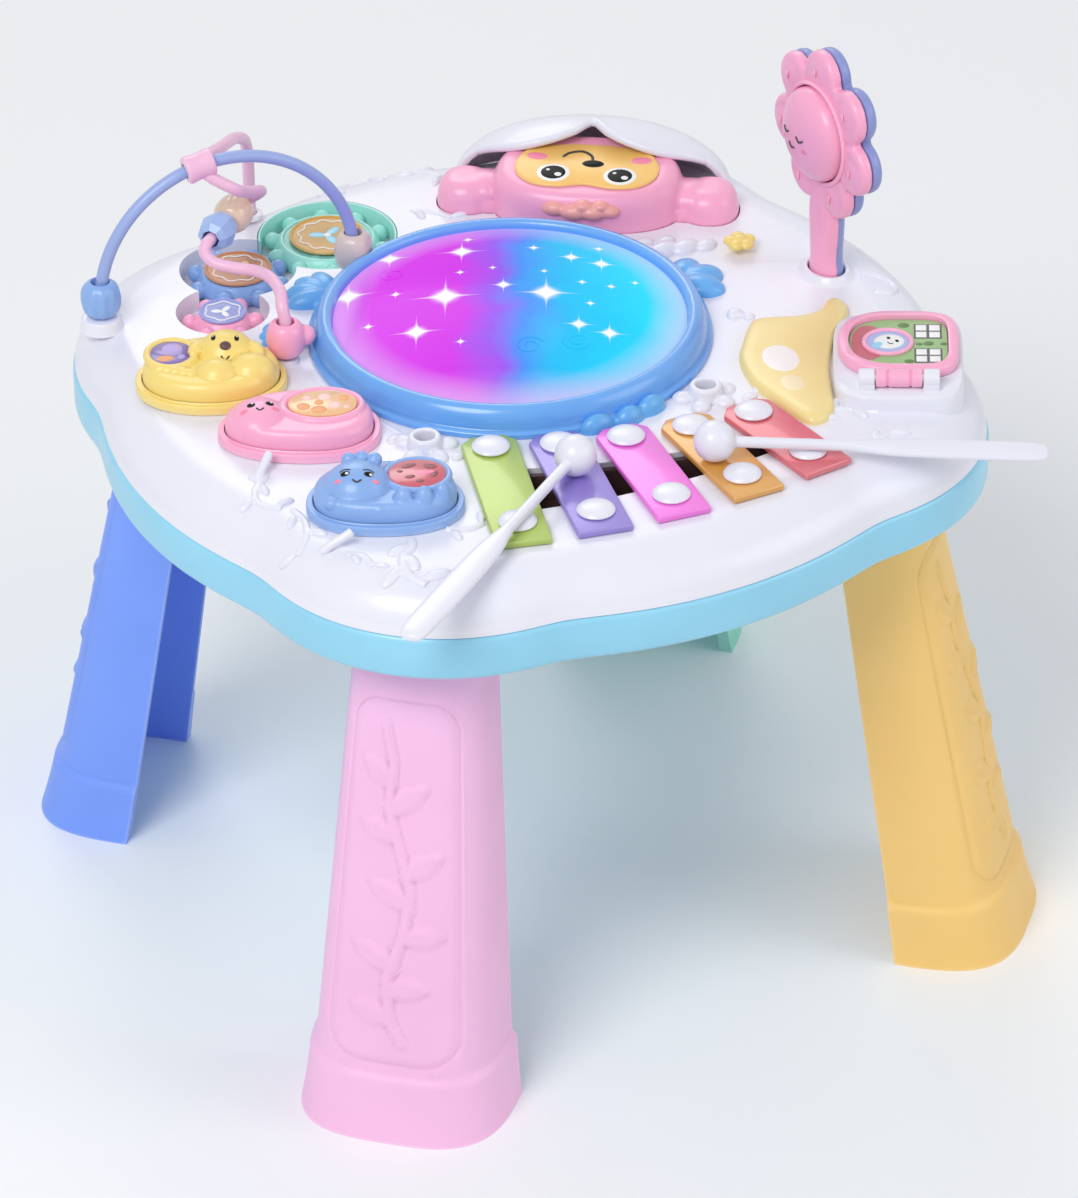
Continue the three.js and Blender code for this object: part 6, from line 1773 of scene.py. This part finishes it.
def door_outline(half_x, half_y, full):
    """Squarish on the side of the windows and round on the other."""
    squarish, rounder = oval(half_x, half_y, full), oval(half_x, half_y, 2.5)
    return lambda turn: squarish(turn) if cos(2 * pi * turn) >= 0 else rounder(turn)


def on_pin(profile, steps, side=1):
    """A turned form laid along the door's pin."""
    return placed(spun(profile, steps), z=DOOR_PIN, tip=(90 * side, "Y"))


def door_seat_piece():
    seat = loft([(shrunk(oval(28, 35.5, 5), share), z) for share, z in
                 ((1.03, 252), (1.0, 262), (1, 267.4), (0.99, 268.8), (0.965, 269.5))], 96)
    forms = [placed(seat, 0, 26.5)]
    for side in (-1, 1):
        forms.append(on_pin(KNUCKLE, 32, side))
        forms.append(box(side * 10.4, side * 17.2, -3.9, 3.9, 266, 272.2))
    return placed(together(forms), **DOOR)


def door_frame_piece():
    outer = loft([(shrunk(door_outline(26, 25, 4), share), z) for share, z in
                  ((0.985, 269.8), (1, 270.4), (1, 273.6), (0.985, 274.4), (0.96, 274.8))], 96)
    form = carved(outer, [prism(door_outline(21.5, 20.5, 5), 268, 277, 96)], soft_edge=0.3)
    arm = box(-9.8, 9.8, 3.2, 10, 270, 273.6, 0.3)
    return placed(together([placed(form, 0, DOOR_MIDDLE), on_pin(HINGE, 40), arm]), **DOOR)


def square(x, y, half, low, high, round_edge=0.0):
    return box(x - half, x + half, y - half, y + half, low, high, round_edge)


def picture_piece():
    """A card with two windows, a bush and a round peephole with a small face."""
    card = prism(door_outline(21.1, 20.1, 5), CARD_LOW, CARD_TOP, 64)
    forms = [painted(placed(card, 0, DOOR_MIDDLE), 0)]
    for x, y in CARD_WINDOWS:
        for py in (y - PANE_STEP, y + PANE_STEP):
            for px in (x - PANE_STEP, x + PANE_STEP):
                pane = square(px, py, PANE_HALF, CARD_TOP - 0.1, CARD_TOP + 0.3, 0.1)
                forms.append(painted(pane, 1))
        forms.append(painted(square(x, y, BOARD_HALF, CARD_TOP - 0.2, CARD_TOP + 0.12), 2))
    red = prism(oval(7.2, 14.4, 2.2), CARD_TOP - 0.2, CARD_TOP + 0.12)
    hole = rod(PEEPHOLE_RADIUS, CARD_TOP, CARD_TOP + 0.5, 48)
    ring = [(x, y, CARD_TOP + 0.5) for x, y in circle(PEEPHOLE_RADIUS, 60, PEEPHOLE_X, DOOR_MIDDLE)]
    forms += [
        painted(placed(red, -13, DOOR_MIDDLE), 3),
        painted(placed(hole, PEEPHOLE_X, DOOR_MIDDLE), 4),
        painted(tube(ring, 1.1, 12, cyclic=True), 5),
    ]
    for height, spots, strokes in CARD_MARKS:
        forms += marks(flat_at(CARD_TOP + height), spots, strokes)
    return placed(together(forms), **DOOR)


PICTURE = [PRINT_GREEN, PRINT_WHITE, PRINT_BLACK, PRINT_RED, PERIWINKLE, PINK, SKY, LEAF_GREEN]
finish_piece("door_seat", door_seat_piece(), WHITE, stands_for="top_shell")
finish_piece("door_pin_rod", placed(on_pin(PIN, 24), **DOOR), STEEL, stands_for="door_pin",
             slot="pin steel")
finish_piece("door_frame", door_frame_piece(), PINK, "flip_door", "flip_door")
finish_piece("door_card", picture_piece(), PICTURE, "flip_door", "door_picture",
             "printed picture")

# %% [markdown]
# ## The rattle
# A flower on a stem that stands in its socket and can be lifted out. It is two half shells,
# pink in front and ribbed lilac behind, with a sleeping face on a dome.

# %% Rattle
PETALS, PETAL_CIRCLE, PETAL_RADIUS, RATTLE_Z = 7, 27, 12.1, 333.25
FACE_RADIUS, FACE_FOOT, FACE_RISE = 21.2, 7, 9.8
PETAL_LOW, PETAL_TOP = 0.2, 5.6
SEAT_RADIUS = 21.8
HANDLE_LOW, HANDLE_LENGTH, HANDLE_HALF_X, HANDLE_HALF_Y = 240, 72, 9.3, 6.8
WAVES_FROM, NECK_FROM = 268, 290


def stand_up(form):
    """Stands a form that lies on Z up at the rattle's height, facing -Y."""
    return placed(form, z=RATTLE_Z, tip=(90, "X"))


def petal_ring(bulge):
    """Seven petals side by side, lying on Z."""
    forms = [prism(oval(29, 29), PETAL_LOW, PETAL_TOP - 0.8, 64)]
    outline = oval(PETAL_RADIUS, PETAL_RADIUS)
    profile = [(1, PETAL_LOW), (1, PETAL_TOP - 3), (0.97, PETAL_TOP - 1.5), (0.9, PETAL_TOP - 0.5),
               (0.78, PETAL_TOP)]
    for x, y in circle(PETAL_CIRCLE, PETALS, start=pi / 2):
        forms.append(placed(crowned(outline, profile, 48), x, y))
        forms.append(ball((6, 6, bulge), (x * 1.12, y * 1.12, PETAL_TOP - 0.4), 24))
    return melted(forms, 0.8, 3)


def handle_form(side):
    """Half of the stem: a wavy oval column kept on one side of the seam."""
    levels = []
    for k in range(40):
        z = HANDLE_LOW + HANDLE_LENGTH * k / 39
        wave = 1 + 0.09 * sin((z - HANDLE_LOW) / 6.5) * (z > WAVES_FROM)
        thin = 1 - 0.12 * (z > NECK_FROM) * (z - NECK_FROM) / 20
        levels.append((oval(HANDLE_HALF_X * wave * thin, HANDLE_HALF_Y * (0.92 + 0.08 * wave)), z))
    keep = box(-20, 20, 0.15, 20, 230, 330)
    return carved(loft(levels, 48), [placed(keep, turn=180 if side < 0 else 0)])


def rattle_front_piece():
    seat = rod(SEAT_RADIUS, 2.3, 12, 64)
    rim_ring = spun([(SEAT_RADIUS, 4), (23.6, 4), (23.9, 6.2), (23, 7), (22.2, 6.8),
                     (SEAT_RADIUS, 6), (SEAT_RADIUS, 4)], 64)
    dimples = [ball((0.7, 2.1, 0.6), (x, y, 7.1), 12)
               for x, y in circle(PETAL_CIRCLE * 1.1, PETALS, start=pi / 2)]
    head = stand_up(together([carved(petal_ring(1.4), [seat]), rim_ring]))
    return together([head, handle_form(1), *(stand_up(form) for form in dimples)])


def rattle_back_piece():
    ribs = [tube([(r * x, r * y, 5.9) for r in (12, 20, 28, 33)], 0.7, 8)
            for x, y in circle(1, PETALS, start=pi / 2)]
    hub = spun([(0, 5), (9, 5), (8.6, 6.6), (7.6, 7), (0, 7)], 48)
    head = placed(stand_up(together([petal_ring(1), hub, *ribs])), turn=180)
    return together([head, handle_form(-1)])


def rattle_dome(x, y):
    return FACE_FOOT + FACE_RISE * sqrt(max(0, 1 - (hypot(x, y) / FACE_RADIUS) ** 2))


def rattle_face_piece():
    turns = (pi / 2 * k / 16 for k in range(17))
    profile = [(0, 2.6), (FACE_RADIUS, 2.6)]
    profile += [(FACE_RADIUS * cos(a), FACE_FOOT + FACE_RISE * sin(a)) for a in turns]
    cheeks = [(2, 6.6, -3.4, 2, 1.1, 0.3), (2, -11, -3, 1.7, 1, 0.3)]
    lids = [(1, [(x - 2.6, 1.8), (x - 0.3, 0), (x + 2.6, 1.6)], 0.5) for x in (-8.4, 3.4)]
    smile = (1, [(-5.2, -3.2), (-3.4, -5.2), (-0.8, -4.4)], 0.5)
    face = [painted(spun(profile, 64), 0), *marks(rattle_dome, cheeks, [*lids, smile])]
    return stand_up(together(face))


for name, form, finish, part, slot in (
    ("rattle_petals", rattle_front_piece(), PINK, "rattle_front", None),
    ("rattle_rear", rattle_back_piece(), LILAC, "rattle_back", "lilac plastic"),
    ("rattle_cheeks", rattle_face_piece(), [PINK, PRINT_BLACK, BLUSH], "rattle_face", None),
):
    finish_piece(name, placed(form, **RATTLE, turn=-90), finish, "rattle", part, slot)

# %% [markdown]
# ## Inside and below
# The battery door, the switch, the boards and the cells keep the shapes of the solids. They
# only need their own looks: green resin with paler green tracks, black plastic for the
# speaker and the switch, and a printed sleeve on each cell.

# %% Looks of the inner nodes
def two_tone(name, mask_of, low, high, first, second, roughness):
    """Two colours parted by a mask that is worked out from the place."""
    finish, tree, shader = bare_material(name)
    share = spread(tree, mask_of(tree, object_place(tree)), low, high)
    colour = mix_colour(tree, share, linear(*first), linear(*second))
    feed(tree, shader, {"Base Color": colour, "Roughness": roughness})
    return finish


def tracks(tree, place):
    cells = node(tree, "TexVoronoi", {"Vector": place, "Scale": 160}, distance="CHEBYCHEV",
                 feature="F1")
    return cells.outputs["Distance"]


def length_along(tree, place):
    return node(tree, "SeparateXYZ", {0: place}).outputs["Y"]


BOARD = two_tone("circuit_board_green", tracks, 0.32, 0.36, (0.1, 0.42, 0.25),
                 (0.2, 0.58, 0.35), 0.35)
CELL = two_tone("battery_wrap", length_along, 0.008, 0.0085, (0.2, 0.35, 0.6),
                (0.78, 0.78, 0.8), 0.3)
INNER_LOOKS = {
    "light_board": BOARD, "main_board": BOARD, "speaker": BLACK_PLASTIC,
    "power_switch": BLACK_PLASTIC, "battery_1": CELL, "battery_2": CELL, "battery_3": CELL,
    "battery_door": SKY,
}
for name, finish in INNER_LOOKS.items():
    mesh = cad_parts[name].data
    mesh.materials.clear()
    mesh.materials.append(finish)
print("nodes with looks of their own:", len(INNER_LOOKS))
